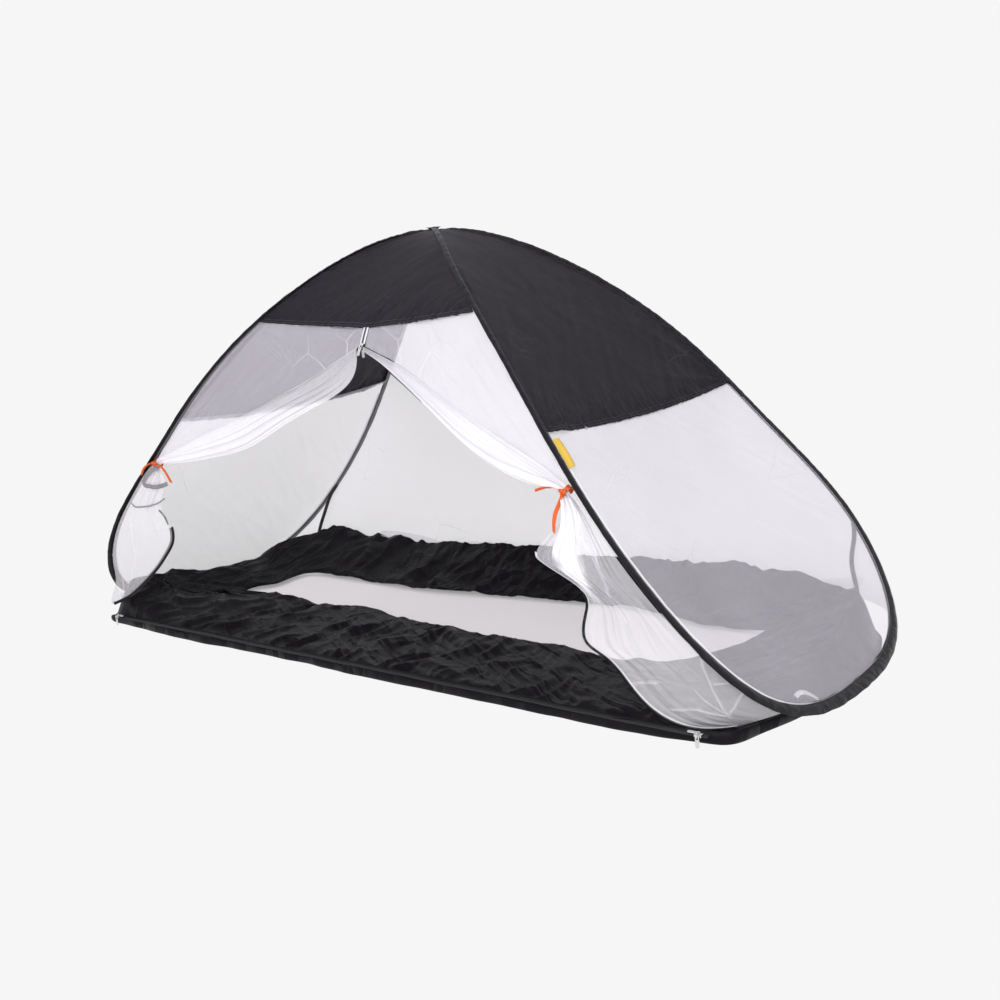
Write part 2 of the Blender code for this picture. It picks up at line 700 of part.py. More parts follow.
def box_union(name, boxes, matrix, kit, parent):
    """One body made of boxes, each a low and a high corner in the placing matrix's axes."""
    others = bpy.data.collections.new(f"{name}_boxes")
    kit["helpers"].children.link(others)
    for number, (low, high) in enumerate(boxes[1:]):
        helper = box_object(f"{name}_box_{number}", low, high, matrix)
        helper.hide_render = True
        helper.display_type = "WIRE"
        others.objects.link(helper)
    item = box_object(name, *boxes[0], matrix)
    item.data.materials.append(kit["zinc"])
    kit["group"].objects.link(item)
    union = item.modifiers.new("Union", "BOOLEAN")
    union.operation = "UNION"
    union.operand_type = "COLLECTION"
    union.collection = others
    return hang(item, parent)


def plates():
    """Two plates of a slider, either side of the tape. Axes: across, out of the tape, travel."""
    w, t = SLIDER_HALF_WIDTH, SLIDER_HALF_LENGTH
    return [((-w, PLATE_NEAR, -t), (w, PLATE_FAR, t)), ((-w, -PLATE_FAR, -t), (w, -PLATE_NEAR, t))]


def bridge(face):
    """The staple that a pull hangs on, standing on a face that is this far from the middle."""
    w, hole, end = BRIDGE_HALF_WIDTH, BRIDGE_HALF_HOLE, BRIDGE_HALF_HOLE + BRIDGE_BAR
    root = face - BRIDGE_ROOT
    under = face + BRIDGE_HOLE_HEIGHT
    top = under + BRIDGE_BAR
    return [((-w, root, hole), (w, top, end)), ((-w, root, -end), (w, top, -hole)), ((-w, under, -end), (w, top, end))]


def turned(boxes, order, signs):
    """Boxes with their axes reordered, then flipped where a sign is -1."""
    out = []
    for corners in boxes:
        moved = np.array(corners)[:, order] * signs
        out.append((moved.min(axis=0), moved.max(axis=0)))
    return out


def add_outline(curve, points):
    spline = curve.splines.new("POLY")
    spline.points.add(len(points) - 1)
    for point, (x, y) in zip(spline.points, points):
        point.co = (x, y, 0.0, 1.0)
    spline.use_cyclic_u = True


def make_pull(name, at, hinge, hanging, kit, parent):
    """A pull: a round-ended plate with a window, whose top bar lies in the slider's bridge."""
    curve = bpy.data.curves.new(name, "CURVE")
    curve.dimensions = "2D"
    curve.fill_mode = "BOTH"
    curve.extrude = PULL_HALF_THICK
    w, eye = PULL_HALF_WIDTH, PULL_EYE_HALF_WIDTH
    arc = [math.pi * (1.0 + g / 6.0) for g in range(7)]
    end = [(w * math.cos(a), w - PULL_LENGTH + w * math.sin(a)) for a in arc]
    add_outline(curve, [(w, PULL_BAR_HALF), (-w, PULL_BAR_HALF), *end])
    add_outline(curve, [(-eye, -PULL_BAR_HALF), (eye, -PULL_BAR_HALF), (eye, -PULL_EYE_END), (-eye, -PULL_EYE_END)])
    curve.materials.append(kit["zinc"])
    item = bpy.data.objects.new(name, curve)
    item.matrix_world = facing(at, hinge, -Vector(hanging))
    kit["group"].objects.link(item)
    return hang(item, parent)


def make_door_zip(kit, body):
    first = wall_hem(0.0) + WALL_GAP
    last = station_at_height(SLIDER_HEIGHT + DOOR_ZIP_LENGTH_LEFT)
    rows = []
    for station in between(first, last, 3):
        limit = np.interp(station, TABLE_STATION, WALL_LIMIT)
        rows.append([wall_point(-1, station, x / limit) for x in (-DOOR_ZIP_HALF_WIDTH, 0.0, DOOR_ZIP_HALF_WIDTH)])
    cloth("zip_top", rows, ZIP_CLOTH, kit["zip"], kit["group"], body)


def make_door_slider(kit, body):
    """The slider that has come down a little from the top of the door, with a pull outside and one inside."""
    middle = Vector(wall_point(-1, station_at_height(SLIDER_HEIGHT), 0.0))
    above = Vector(wall_point(-1, wall_hem(0.0), 0.0))
    up = (above - middle).normalized()
    hinge = Vector((1.0, 0.0, 0.0))
    out = up.cross(hinge)
    if out.y > 0:
        out = -out
    matrix = facing(middle, up.cross(out), out)
    slider = pivot("slider_top_place", middle, kit["group"], body)
    foot = -SLIDER_HALF_LENGTH
    neck = [((-SLIDER_NECK, -PLATE_FAR, foot), (SLIDER_NECK, PLATE_FAR, foot + 2 * SLIDER_NECK))]
    boxes = plates() + neck + bridge(PLATE_FAR) + turned(bridge(PLATE_FAR), (0, 1, 2), (1, -1, 1))
    boxes = turned(boxes, (0, 1, 2), (1, 1, -1)) if matrix.col[2].xyz.dot(up) < 0 else boxes
    box_union("slider_top", boxes, matrix, kit, slider)
    axis_out = PLATE_FAR + PULL_OUT
    make_pull("pull_top_outer", middle + out * axis_out, hinge, -up, kit, slider)
    make_pull("pull_top_inner", middle - out * axis_out, hinge, (0, 0, -1), kit, slider)


def make_base_zip(kit, body):
    half = np.array((0.0, BASE_ZIP_HALF_WIDTH, 0.0))
    rows = []
    for x in np.linspace(-BASE_ZIP_HALF_LENGTH, BASE_ZIP_HALF_LENGTH, 9):
        middle = np.array((x, BASE_ZIP_Y, BASE_ZIP_HEIGHT))
        rows.append([middle - half, middle, middle + half])
    cloth("zip_base", rows, ZIP_CLOTH, kit["zip"], kit["group"], body)


def make_base_slider(side, word, kit, body):
    """A slider at one end of the base zip, with a pull lying on top and one hanging in front."""
    w, t = SLIDER_HALF_WIDTH, SLIDER_HALF_LENGTH
    front = BASE_ZIP_Y - BASE_ZIP_HALF_WIDTH - SLIDER_CLEARANCE - SLIDER_NECK
    middle = Vector((side * SLIDER_X, front + w, BASE_ZIP_HEIGHT))
    neck = [((-w, -PLATE_FAR, -t), (-w + SLIDER_NECK, PLATE_FAR, t))]
    front_bridge = turned(bridge(w), (1, 2, 0), (-1, 1, 1))
    matrix = facing(middle, (0, 1, 0), (0, 0, 1))
    slider = pivot(f"slider_{word}_place", middle, kit["group"], body)
    box_union(f"slider_{word}", plates() + neck + bridge(PLATE_FAR) + front_bridge, matrix, kit, slider)
    top = middle + Vector((0, 0, PLATE_FAR + PULL_OUT))
    make_pull(f"pull_{word}_top", top, (0, 1, 0), (-side, 0, 0), kit, slider)
    face = middle - Vector((0, w + PULL_OUT, 0))
    make_pull(f"pull_{word}_front", face, (1, 0, 0), (0, 0, -1), kit, slider)


# Ties, straps, tag and tab


def make_tie(side, word, ends, kit, body):
    start, finish = swag_line(side)
    along = Vector(finish - start).normalized()
    middle = Vector(finish) - TIE_FROM_SWAG_END * along
    bpy.ops.mesh.primitive_torus_add(
        major_radius=TIE_RADIUS, minor_radius=TIE_BAR_RADIUS, major_segments=16, minor_segments=6
    )
    ring = bpy.context.object
    ring.name = f"tie_{word}"
    ring.data.materials.append(kit["orange ribbon"])
    for group in list(ring.users_collection):
        group.objects.unlink(ring)
    kit["group"].objects.link(ring)
    ring.matrix_world = Matrix.Translation(middle) @ along.to_track_quat("Z", "Y").to_matrix().to_4x4()
    hang(ring, body)
    for letter, end in zip("ab", ends):
        path = through(np.array(end) + np.array(middle), 12)
        rod(f"tie_end_{word}_{letter}", path, RIBBON_RADIUS, kit["orange ribbon"], kit["group"], body)


def strip_rows(route, count, aside, half_width):
    aside = half_width * np.array(aside, float) / np.linalg.norm(aside)
    return [[point - aside, point + aside] for point in through(route, count)]


def make_stay(side, word, kit, body):
    route = [(side * (HALF_LENGTH - x_in), HALF_WIDTH - y_in, z) for x_in, y_in, z in STRAP_ROUTE]
    rows = strip_rows(route, 9, (-side, 1, 0), STRAP_HALF_WIDTH)
    cloth(f"stay_{word}", rows, STRAP_CLOTH, kit["black webbing"], kit["group"], body)


def make_tag(kit, body):
    rows = []
    for height in between(TAG_TOP, TAG_BOTTOM, 4):
        station = float(station_at_height(height))
        x, y, z = arm_at(station)
        profile = arm_direction(station)
        out = np.array((-profile[1], 0.0, profile[0]))
        seam = y - float(sleeve_half(station)) - TAG_FROM_SLEEVE
        row = []
        for g in (0.0, 0.5, 1.0):
            row.append(np.array((x, TAG_DEPTH * g - seam, z)) + out * (TAG_OUT + TAG_FLARE * g))
        rows.append(row)
    cloth("side_tag", rows, TAG_CLOTH, kit["yellow tag"], kit["group"], body)


def make_tab(kit, body):
    route = [(HALF_LENGTH - x_in, y, z) for x_in, y, z in TAB_ROUTE]
    rows = strip_rows(route, 7, (1, 0, 0), TAB_HALF_WIDTH)
    cloth("inner_tab", rows, TAG_CLOTH, kit["white tape"], kit["group"], body)


def make_materials():
    return {
        "black cloth": principled("black ripstop cloth", (0.028, 0.027, 0.030), 0.55),
        "mesh cloth": principled("white insect mesh", (0.80, 0.77, 0.80), 0.75),
        "steel": principled("spring steel", (0.42, 0.42, 0.44), 0.30, 1.0),
        "zip": principled("zip tape", (0.55, 0.54, 0.56), 0.60),
        "zinc": principled("zinc die casting", (0.70, 0.70, 0.71), 0.28, 1.0),
        "orange ribbon": principled("orange ribbon", (0.82, 0.17, 0.03), 0.60),
        "yellow tag": principled("yellow woven tag", (0.80, 0.50, 0.05), 0.70),
        "black webbing": principled("black webbing", (0.030, 0.030, 0.033), 0.70),
        "white tape": principled("white tape", (0.82, 0.81, 0.80), 0.70),
    }


def make_side(side, word, edge, swag_half, opening_x, ends, kit, canopy, body):
    """Everything that moves with one hoop, and the half of the door that is tied to it."""
    make_hoop(side, word, kit, body)
    make_end_panels(side, word, kit, body)
    make_end_skirt(side, word, opening_x, kit, body)
    make_stay(side, word, kit, body)
    make_base_slider(side, word, kit, body)
    make_tie(side, word, ends, kit, body)
    make_door_mesh(side, word, kit, canopy)
    make_swag(side, word, swag_half, kit, canopy)
    make_tail(side, word, edge, kit, canopy)
    make_flap_zip(side, word, edge, kit, canopy)


def make_canopy(kit, body):
    """The front and back of the tent, which turn half as far as the folding hoop."""
    make_crossing(kit, body)
    make_wall_roof(-1, "front", kit, body)
    make_wall_roof(1, "back", kit, body)
    make_back_mesh(kit, body)
    make_front_skirt(kit, body)
    make_back_skirt(kit, body)
    make_rim(kit, body)
    make_door_zip(kit, body)
    make_door_slider(kit, body)
    make_base_zip(kit, body)


def main():
    clear_scene()
    kit = make_materials()
    kit["group"] = new_collection("pop_up_bed_tent")
    kit["helpers"] = new_collection("helpers")
    right_hoop = pivot("right_hoop", (0.0, 0.0, 0.0), kit["group"])
    left_hoop = pivot("left_hoop", APEX, kit["group"], right_hoop)
    canopy = pivot("canopy", APEX, kit["group"], right_hoop)
    right_opening = HALF_LENGTH - OPENING_RIGHT_FROM_TIP
    left_opening = HALF_LENGTH - OPENING_LEFT_FROM_TIP
    right = ("right", FLAP_EDGE_RIGHT, SWAG_HALF_HEIGHT_RIGHT, right_opening, RIBBON_ENDS_RIGHT)
    left = ("left", FLAP_EDGE_LEFT, SWAG_HALF_HEIGHT_LEFT, left_opening, RIBBON_ENDS_LEFT)
    make_side(1, *right, kit, canopy, right_hoop)
    make_side(-1, *left, kit, canopy, left_hoop)
    make_canopy(kit, canopy)
    make_tag(kit, right_hoop)
    make_tab(kit, right_hoop)


main()
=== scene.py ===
"""Pop-up bed tent with its door tied back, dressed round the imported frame. Sizes are in metres."""

import math

import bpy
import numpy as np
from mathutils import Matrix, Vector, noise


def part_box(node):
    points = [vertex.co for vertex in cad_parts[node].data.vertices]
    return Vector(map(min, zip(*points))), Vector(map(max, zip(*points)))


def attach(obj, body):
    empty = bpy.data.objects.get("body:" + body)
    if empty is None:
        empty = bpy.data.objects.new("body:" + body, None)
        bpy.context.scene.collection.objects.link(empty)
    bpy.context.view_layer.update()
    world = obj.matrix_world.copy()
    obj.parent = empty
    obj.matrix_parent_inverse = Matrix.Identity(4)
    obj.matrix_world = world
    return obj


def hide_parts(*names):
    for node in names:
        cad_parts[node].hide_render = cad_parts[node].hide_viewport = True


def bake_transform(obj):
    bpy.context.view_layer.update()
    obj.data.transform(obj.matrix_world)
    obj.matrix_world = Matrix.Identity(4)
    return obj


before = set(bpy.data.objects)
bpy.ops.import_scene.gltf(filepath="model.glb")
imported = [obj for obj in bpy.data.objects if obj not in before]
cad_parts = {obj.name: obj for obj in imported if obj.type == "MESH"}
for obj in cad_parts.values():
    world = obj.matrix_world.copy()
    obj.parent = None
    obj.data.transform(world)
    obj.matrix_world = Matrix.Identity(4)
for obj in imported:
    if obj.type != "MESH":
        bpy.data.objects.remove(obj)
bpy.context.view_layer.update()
scene = bpy.context.scene

# Camera and studio.
# The photograph is a cut-out of the tent on one pale grey-white, taken from low down at the front right.
CAMERA_PLACE = (1.8257, -2.1896, 0.8776)
CAMERA_AXES = ((0.7775, 0.6239, -0.0789), (-0.0697, 0.2102, 0.9752), (0.6250, -0.7527, 0.2070))
BACKDROP = "#f6f6f6"
LIGHTS_AIM = Vector((0.0, 0.0, 0.4))
SOFTBOXES = (
    ("key_softbox", (0.9, -2.8, 2.5), 1.9, 43),
    ("top_softbox", (-1.7, -0.9, 2.9), 1.8, 7),
    ("rim_softbox", (2.9, 1.9, 2.3), 0.8, 3),
    ("front_softbox", (1.9, -3.0, 1.0), 1.8, 24),
)


def new_object(name, data):
    item = bpy.data.objects.new(name, data)
    scene.collection.objects.link(item)
    return item


def linear(code, alpha=1.0):
    """Linear colour from an sRGB hex code."""
    parts = [int(code[i : i + 2], 16) / 255 for i in (1, 3, 5)]
    return (*[c / 12.92 if c <= 0.04045 else ((c + 0.055) / 1.055) ** 2.4 for c in parts], alpha)


def add_node(tree, kind, inputs=(), **settings):
    """Adds a node with its settings and inputs: values, outputs to link, or nodes, for their first output."""
    node = tree.nodes.new(kind)
    for name, value in settings.items():
        setattr(node, name, value)
    for key, value in dict(inputs).items():
        if isinstance(value, bpy.types.Node):
            value = value.outputs[0]
        if isinstance(value, bpy.types.NodeSocket):
            tree.links.new(value, node.inputs[key])
        else:
            node.inputs[key].default_value = value
    return node


camera_data = bpy.data.cameras.new("camera")
camera_data.sensor_width = 36.0
camera_data.lens = 42.81
camera_data.shift_x = 0.0407
camera_data.shift_y = 0.0159
camera_turn = Matrix(CAMERA_AXES).transposed().to_quaternion().to_matrix().to_4x4()
scene.camera = new_object("camera", camera_data)
scene.camera.matrix_world = Matrix.Translation(CAMERA_PLACE) @ camera_turn
scene.view_settings.view_transform = "Standard"
scene.cycles.transparent_max_bounces = 24

world = bpy.data.worlds.new("studio")
scene.world = world
world.use_nodes = True
sky = world.node_tree
sky.nodes.clear()
seen = add_node(sky, "ShaderNodeBackground", {"Color": linear(BACKDROP), "Strength": 1.0})
lit = add_node(sky, "ShaderNodeBackground", {"Color": linear("#f4f5f8"), "Strength": 0.71})
ray = add_node(sky, "ShaderNodeLightPath")
both = add_node(sky, "ShaderNodeMixShader", {0: ray.outputs["Is Camera Ray"], 1: lit, 2: seen})
add_node(sky, "ShaderNodeOutputWorld", {"Surface": both})
for name, place, size, watts in SOFTBOXES:
    lamp_data = bpy.data.lights.new(name, "AREA")
    lamp_data.size = size
    lamp_data.energy = watts
    aim = (LIGHTS_AIM - Vector(place)).to_track_quat("-Z", "Y")
    new_object(name, lamp_data).matrix_world = Matrix.Translation(place) @ aim.to_matrix().to_4x4()

# Studio floor: white board.
# Under the tent it takes the tent's own shade, lightened by a painted glow of three tenths of the backdrop's,
# and outside it runs into the backdrop.
FLOOR_HALF, FLOOR_DROP = 30, 0.0008
SHADE_SHAPE = (1.02, 2.45, 0.0)
SHADE_INSIDE, SHADE_OUTSIDE = 0.86, 1.00
floor_mesh = bpy.data.meshes.new("studio_floor")
turned = ((-1, -1), (1, -1), (1, 1), (-1, 1))
floor_corners = [(FLOOR_HALF * x, FLOOR_HALF * y, -FLOOR_DROP) for x, y in turned]
floor_mesh.from_pydata(floor_corners, [], [(0, 1, 2, 3)])
floor = new_object("studio_floor", floor_mesh)
board = bpy.data.materials.new("matt white board")
board.use_nodes = True
paint = board.node_tree
paint.nodes.clear()
spot = add_node(paint, "ShaderNodeTexCoord").outputs["Object"]
squeezed = add_node(paint, "ShaderNodeVectorMath", {0: spot, 1: SHADE_SHAPE}, operation="MULTIPLY")
reach = add_node(paint, "ShaderNodeVectorMath", {0: squeezed}, operation="LENGTH").outputs["Value"]
fading = {"Value": reach, "From Min": SHADE_INSIDE, "From Max": SHADE_OUTSIDE, "To Min": 0.30}
beyond = add_node(paint, "ShaderNodeMapRange", fading, interpolation_type="SMOOTHSTEP")
glow = add_node(paint, "ShaderNodeEmission", {"Color": linear(BACKDROP), "Strength": 1.0})
matt = add_node(paint, "ShaderNodeBsdfDiffuse", {"Color": linear("#f8f0f3")})
board_mix = add_node(paint, "ShaderNodeMixShader", {0: beyond, 1: matt, 2: glow})
add_node(paint, "ShaderNodeOutputMaterial", {"Surface": board_mix})
floor_mesh.materials.append(board)

# Orange ribbons: the loose ends of the two ties, cut from flat woven ribbon 5 to 8 mm wide.
# Each hangs from the knot on its hoop in a slow twist, so its width turns along its length.
RIBBON_WIDTHS = {"right_a": 0.0064, "right_b": 0.0078, "left_a": 0.0054, "left_b": 0.0058}
RIBBON_THICK = 0.0006
RIBBON_ENDS = {
    "right_a": (
        (-0.004, -0.016, 0.004), (-0.022, -0.018, 0.008), (-0.042, -0.018, 0.006), (-0.06, -0.017, 0),
    ),
    "right_b": (
        (0, -0.016, -0.004), (-0.006, -0.02, -0.022), (-0.016, -0.022, -0.046), (-0.02, -0.022, -0.076),
    ),
    "left_a": (
        (-0.002, -0.016, 0.003), (-0.012, -0.024, 0), (-0.024, -0.03, -0.01), (-0.034, -0.032, -0.026),
    ),
    "left_b": (
        (0.004, -0.016, -0.003), (0.024, -0.02, -0.002), (0.046, -0.022, -0.012), (0.068, -0.022, -0.042),
    ),
}
TWISTS = {"right_a": (1.35, 0.55), "right_b": (1.25, -0.35), "left_a": (0.9, 1.25), "left_b": (1.0, 1.30)}


def through(knots, count, first=0.0, last=None):
    """Even-step points on a natural cubic curve through the knots."""
    knots = np.asarray(knots, float)
    spans = len(knots) - 1
    system = np.eye(spans + 1)
    bend = np.zeros_like(knots)
    for i in range(1, spans):
        system[i, i - 1 : i + 2] = (1.0, 4.0, 1.0)
        bend[i] = 6.0 * (knots[i - 1] - 2.0 * knots[i] + knots[i + 1])
    bend = np.linalg.solve(system, bend)
    at = np.linspace(first, last or spans, count)
    span = np.minimum(at.astype(int), spans - 1)
    b = (at - span)[:, None]
    a = 1.0 - b
    line = a * knots[span] + b * knots[span + 1]
    return line + ((a**3 - a) * bend[span] + (b**3 - b) * bend[span + 1]) / 6.0


def unit(vectors):
    return vectors / np.maximum(np.linalg.norm(vectors, axis=-1, keepdims=True), 1e-12)


def length_along(points):
    """Distance of each point of a line from its first, measured along the line."""
    return np.concatenate([[0], np.cumsum(np.linalg.norm(np.diff(points, axis=0), axis=1))])


def sheet_mesh(name, points, material, thickness=0.0, wrap=False, gather=None):
    """A smooth sheet through rows of points with a UV map in metres; wrap closes each row into a ring.

    A second map holds how densely the cloth is gathered at each point, from 0 to 1.
    """
    points = np.asarray(points, float)
    rows, columns, _ = points.shape
    closed = np.concatenate([points, points[:, :1]], axis=1) if wrap else points
    across = np.pad(np.cumsum(np.linalg.norm(np.diff(closed, axis=1), axis=2), axis=1), ((0, 0), (1, 0)))
    across -= across[:, across.shape[1] // 2][:, None]
    along = np.concatenate([[0], np.cumsum(np.linalg.norm(np.diff(points, axis=0), axis=2).mean(axis=1))])
    i, j = np.meshgrid(np.arange(rows - 1), np.arange(closed.shape[1] - 1), indexing="ij")
    k = (j + 1) % columns
    upper, lower = i * columns, (i + 1) * columns
    quads = np.stack([upper + j, lower + j, lower + k, upper + k], axis=-1)
    mesh = bpy.data.meshes.new(name)
    mesh.from_pydata(points.reshape(-1, 3).tolist(), [], quads.reshape(-1, 4).tolist())
    u = np.stack([across[i, j], across[i + 1, j], across[i + 1, j + 1], across[i, j + 1]], axis=-1)
    v = np.stack([along[i], along[i + 1], along[i + 1], along[i]], axis=-1)
    layer = mesh.uv_layers.new(name="weave")
    layer.data.foreach_set("uv", np.stack([u, v], axis=-1).astype(np.float32).ravel())
    if gather is not None:
        dense = np.clip(gather, 0.0, 1.0)
        g = np.stack([dense[i, j], dense[i + 1, j], dense[i + 1, k], dense[i, k]], axis=-1)
        layer = mesh.uv_layers.new(name="gather")
        layer.data.foreach_set("uv", np.stack([0 * g, g], axis=-1).astype(np.float32).ravel())
        mesh.uv_layers.active = mesh.uv_layers["weave"]
    mesh.materials.append(material)
    mesh.shade_smooth()
    item = new_object(name, mesh)
    if thickness:
        wall = item.modifiers.new("cloth", "SOLIDIFY")
        wall.thickness = thickness
        wall.offset = 0.0
        settle(item)
    return item


def settle(item):
    """Turns an object's modifiers into its plain mesh."""
    made = bpy.data.meshes.new_from_object(item.evaluated_get(bpy.context.evaluated_depsgraph_get()))
    item.modifiers.clear()
    item.data = made
    return item


def new_material(name):
    """A new material with its node tree and its shader."""
    material = bpy.data.materials.new(name)
    material.use_nodes = True
    return material, material.node_tree, material.node_tree.nodes["Principled BSDF"]


def thread_height(tree, place, pitch, meet):
    """The height of a weave's threads, from one wave along the cloth and one across it."""
    waves = {"Vector": place, "Scale": math.pi / 10 / pitch}
    ways = [add_node(tree, "ShaderNodeTexWave", waves, bands_direction=way).outputs["Fac"] for way in "XY"]
    return add_node(tree, "ShaderNodeMath", dict(enumerate(ways)), operation=meet)


def uneven_dye(tree, place, scale, detail, dark, light):
    """Fine noise over a surface, and the colour that it gives between two shades."""
    grain = add_node(tree, "ShaderNodeTexNoise", {"Vector": place, "Scale": scale, "Detail": detail})
    shades = {"Factor": grain, 6: linear(dark), 7: linear(light)}
    return grain, add_node(tree, "ShaderNodeMix", shades, data_type="RGBA").outputs[2]


def drawn_aside(tree, place, scale, detail, reach):
    """The place on the cloth, drawn aside in large soft waves, so that creases laid there aren't straight."""
    drift = add_node(tree, "ShaderNodeTexNoise", {"Vector": place, "Scale": scale, "Detail": detail})
    shift = {0: drift.outputs["Color"], 1: (reach,) * 3, 2: place}
    return add_node(tree, "ShaderNodeVectorMath", shift, operation="MULTIPLY_ADD")


def creases(tree, place, scale, width):
    """Creases that meet like crazing: the distance to the nearest one, and a line of this width on each."""
    kind = {"voronoi_dimensions": "2D", "feature": "DISTANCE_TO_EDGE"}
    cells = add_node(tree, "ShaderNodeTexVoronoi", {"Vector": place, "Scale": scale}, **kind)
    near = {"Value": cells, "From Max": width, "To Min": 1.0, "To Max": 0.0}
    return cells, add_node(tree, "ShaderNodeMapRange", near)


def in_patches(tree, place, scale, detail, low, high, most, lines):
    """Keeps lines in some patches of the cloth only, where they rise to this strength."""
    cloud = add_node(tree, "ShaderNodeTexNoise", {"Vector": place, "Scale": scale, "Detail": detail})
    patch = {"Value": cloud, "From Min": low, "From Max": high, "To Max": most}
    here = add_node(tree, "ShaderNodeMapRange", patch)
    return add_node(tree, "ShaderNodeMath", {0: lines, 1: here}, operation="MULTIPLY")


def woven(name, light_side, dark_side, thread, relief, roughness, specular=0.5, crease=0.0, crease_size=0.03):
    """Cloth: a plain weave of this thread spacing, uneven dye between two shades, and sharp fine creases.

    The creases run mostly across the cloth's length, and pale lines are painted along some of them as
    highlights.
    """
    material, tree, shader = new_material(name)
    place = add_node(tree, "ShaderNodeUVMap", uv_map="weave").outputs[0]
    threads = thread_height(tree, place, thread, "ADD")
    _, colour = uneven_dye(tree, place, 45.0, 4.0, dark_side, light_side)
    surface = add_node(tree, "ShaderNodeBump", {"Height": threads, "Strength": 0.5, "Distance": relief})
    if crease:
        drawn = drawn_aside(tree, place, 0.4 / crease_size, 2.0, 1.6 * crease_size)
        squeeze = {0: drawn, 1: (1.0, 0.62, 1.0)}
        long_way = add_node(tree, "ShaderNodeVectorMath", squeeze, operation="MULTIPLY")
        lines = []
        for scale, width, share in ((1.0, 0.022, 1.0), (2.3, 0.040, 0.30)):
            cells, line = creases(tree, long_way, scale / crease_size, width)
            lines.append(line)
            fold = {"Height": cells, "Strength": 1.0, "Distance": crease * share / scale, "Normal": surface}
            surface = add_node(tree, "ShaderNodeBump", fold, invert=True)
        crests = add_node(tree, "ShaderNodeMath", dict(enumerate(lines)), operation="MAXIMUM")
        # Painted highlight: a pale colour laid along the crease lines in some patches, where the ridges would
        # catch the light
        painted_crease_highlight = in_patches(tree, place, 0.45 / crease_size, 3.0, 0.55, 0.68, 0.50, crests)
        crease_highlight_mix = {"Factor": painted_crease_highlight, 6: colour, 7: linear("#4e4a50")}
        colour = add_node(tree, "ShaderNodeMix", crease_highlight_mix, data_type="RGBA").outputs[2]
    tree.links.new(colour, shader.inputs["Base Color"])
    tree.links.new(surface.outputs[0], shader.inputs["Normal"])
    shader.inputs["Roughness"].default_value = roughness
    shader.inputs["Specular IOR Level"].default_value = specular
    return material


def middle_of(node):
    low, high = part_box(node)
    return (np.array(low) + np.array(high)) / 2


ribbon_cloth = woven("woven polyester ribbon", "#ee6a20", "#d85512", 0.0012, 0.00012, 0.55)
for end_name, end_knots in RIBBON_ENDS.items():
    hoop_word = end_name.split("_")[0]
    run = through(np.array(end_knots) + middle_of(f"tie_{hoop_word}"), 49)
    forward = unit(np.gradient(run, axis=0))
    side_way = unit(np.cross(forward, (0.0, 1.0, 0.0)))
    face_way = np.cross(side_way, forward)
    turn = np.linspace(*TWISTS[end_name], len(run))[:, None]
    width_way = side_way * np.cos(turn) + face_way * np.sin(turn)
    normal_way = np.cross(forward, width_way)
    # A frayed heat-cut end, a little slanted
    slant = np.zeros((len(run), 7, 1))
    slant[-4:] = np.linspace(-0.0018, 0.0018, 7)[None, :, None] * np.linspace(0.25, 1.0, 4)[:, None, None]
    steps = np.linspace(-0.5, 0.5, 7)[None, :, None]
    cup = (0.25 - steps**2) * 0.0016
    ribbon_width = RIBBON_WIDTHS[end_name]
    strip = run[:, None] + width_way[:, None] * steps * ribbon_width
    strip = strip + normal_way[:, None] * cup + forward[:, None] * slant
    ribbon = sheet_mesh(f"ribbon_{end_name}", strip, ribbon_cloth, RIBBON_THICK)
    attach(ribbon, f"{hoop_word}_hoop")
    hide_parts(f"tie_end_{end_name}")

# Hoops: one sprung wire bent into a figure of eight, with both lobes standing on the floor.
# The curve is the one that the solids follow, so every panel that is sewn to it starts from here.
HALF_LENGTH, HALF_WIDTH, APEX_HEIGHT, TIP_HEIGHT = 1.000, 0.428, 0.959, 0.0086
ARM_SHARES = (
    (0.211, 0.463, 0.909),
    (0.433, 0.785, 0.714),
    (0.625, 0.952, 0.486),
    (0.813, 1.000, 0.263),
    (0.960, 0.690, 0.058),
)
SPANS = len(ARM_SHARES) + 1
arm_knots = np.array(ARM_SHARES) * (HALF_LENGTH, HALF_WIDTH, APEX_HEIGHT)
ridge = np.array([(0.0, 0.0, APEX_HEIGHT)])
tip = np.array([(HALF_LENGTH, 0.0, TIP_HEIGHT)])
loop = np.concatenate(
    [
        ridge,
        arm_knots * (1, -1, 1),
        tip,
        arm_knots[::-1],
        ridge,
        arm_knots * (-1, -1, 1),
        tip * (-1, 1, 1),
        arm_knots[::-1] * (-1, 1, 1),
    ]
)
knot_count = len(loop)
same = np.eye(knot_count)
spline = 4.0 * same + np.roll(same, 1, axis=1) + np.roll(same, -1, axis=1)
loop_bend = np.linalg.solve(spline, 6.0 * (np.roll(loop, 1, axis=0) - 2.0 * loop + np.roll(loop, -1, axis=0)))


def hoop_line(side, stations):
    """Points round a hoop: station 0 is the ridge crossing, SPANS the tip, twice that the crossing again."""
    at = np.asarray(stations, float)
    span = np.floor(at).astype(int)
    b = (at - span)[:, None]
    a = 1.0 - b
    first, second = span % knot_count, (span + 1) % knot_count
    line = a * loop[first] + b * loop[second]
    return (line + ((a**3 - a) * loop_bend[first] + (b**3 - b) * loop_bend[second]) / 6.0) * (side, 1, 1)


STATIONS = np.linspace(0.0, SPANS, 1201)
ARM = np.abs(hoop_line(1, STATIONS))
arm_step = np.diff(ARM, axis=0)
END_RUN = np.concatenate([[0.0], np.cumsum(np.hypot(arm_step[:, 0], arm_step[:, 2]))])
WALL_RUN = np.concatenate([[0.0], np.cumsum(np.hypot(arm_step[:, 1], arm_step[:, 2]))])


def columns_at(at, known, table, **options):
    """Values between the known places of a table's rows, column by column."""
    return np.stack([np.interp(at, known, column, **options) for column in np.transpose(table)], axis=-1)


def arm_at(station):
    """Unsigned point of an arm, for a station or an array of them."""
    return columns_at(station, STATIONS, ARM)


def station_at(height):
    return np.interp(height, ARM[::-1, 2], STATIONS[::-1])


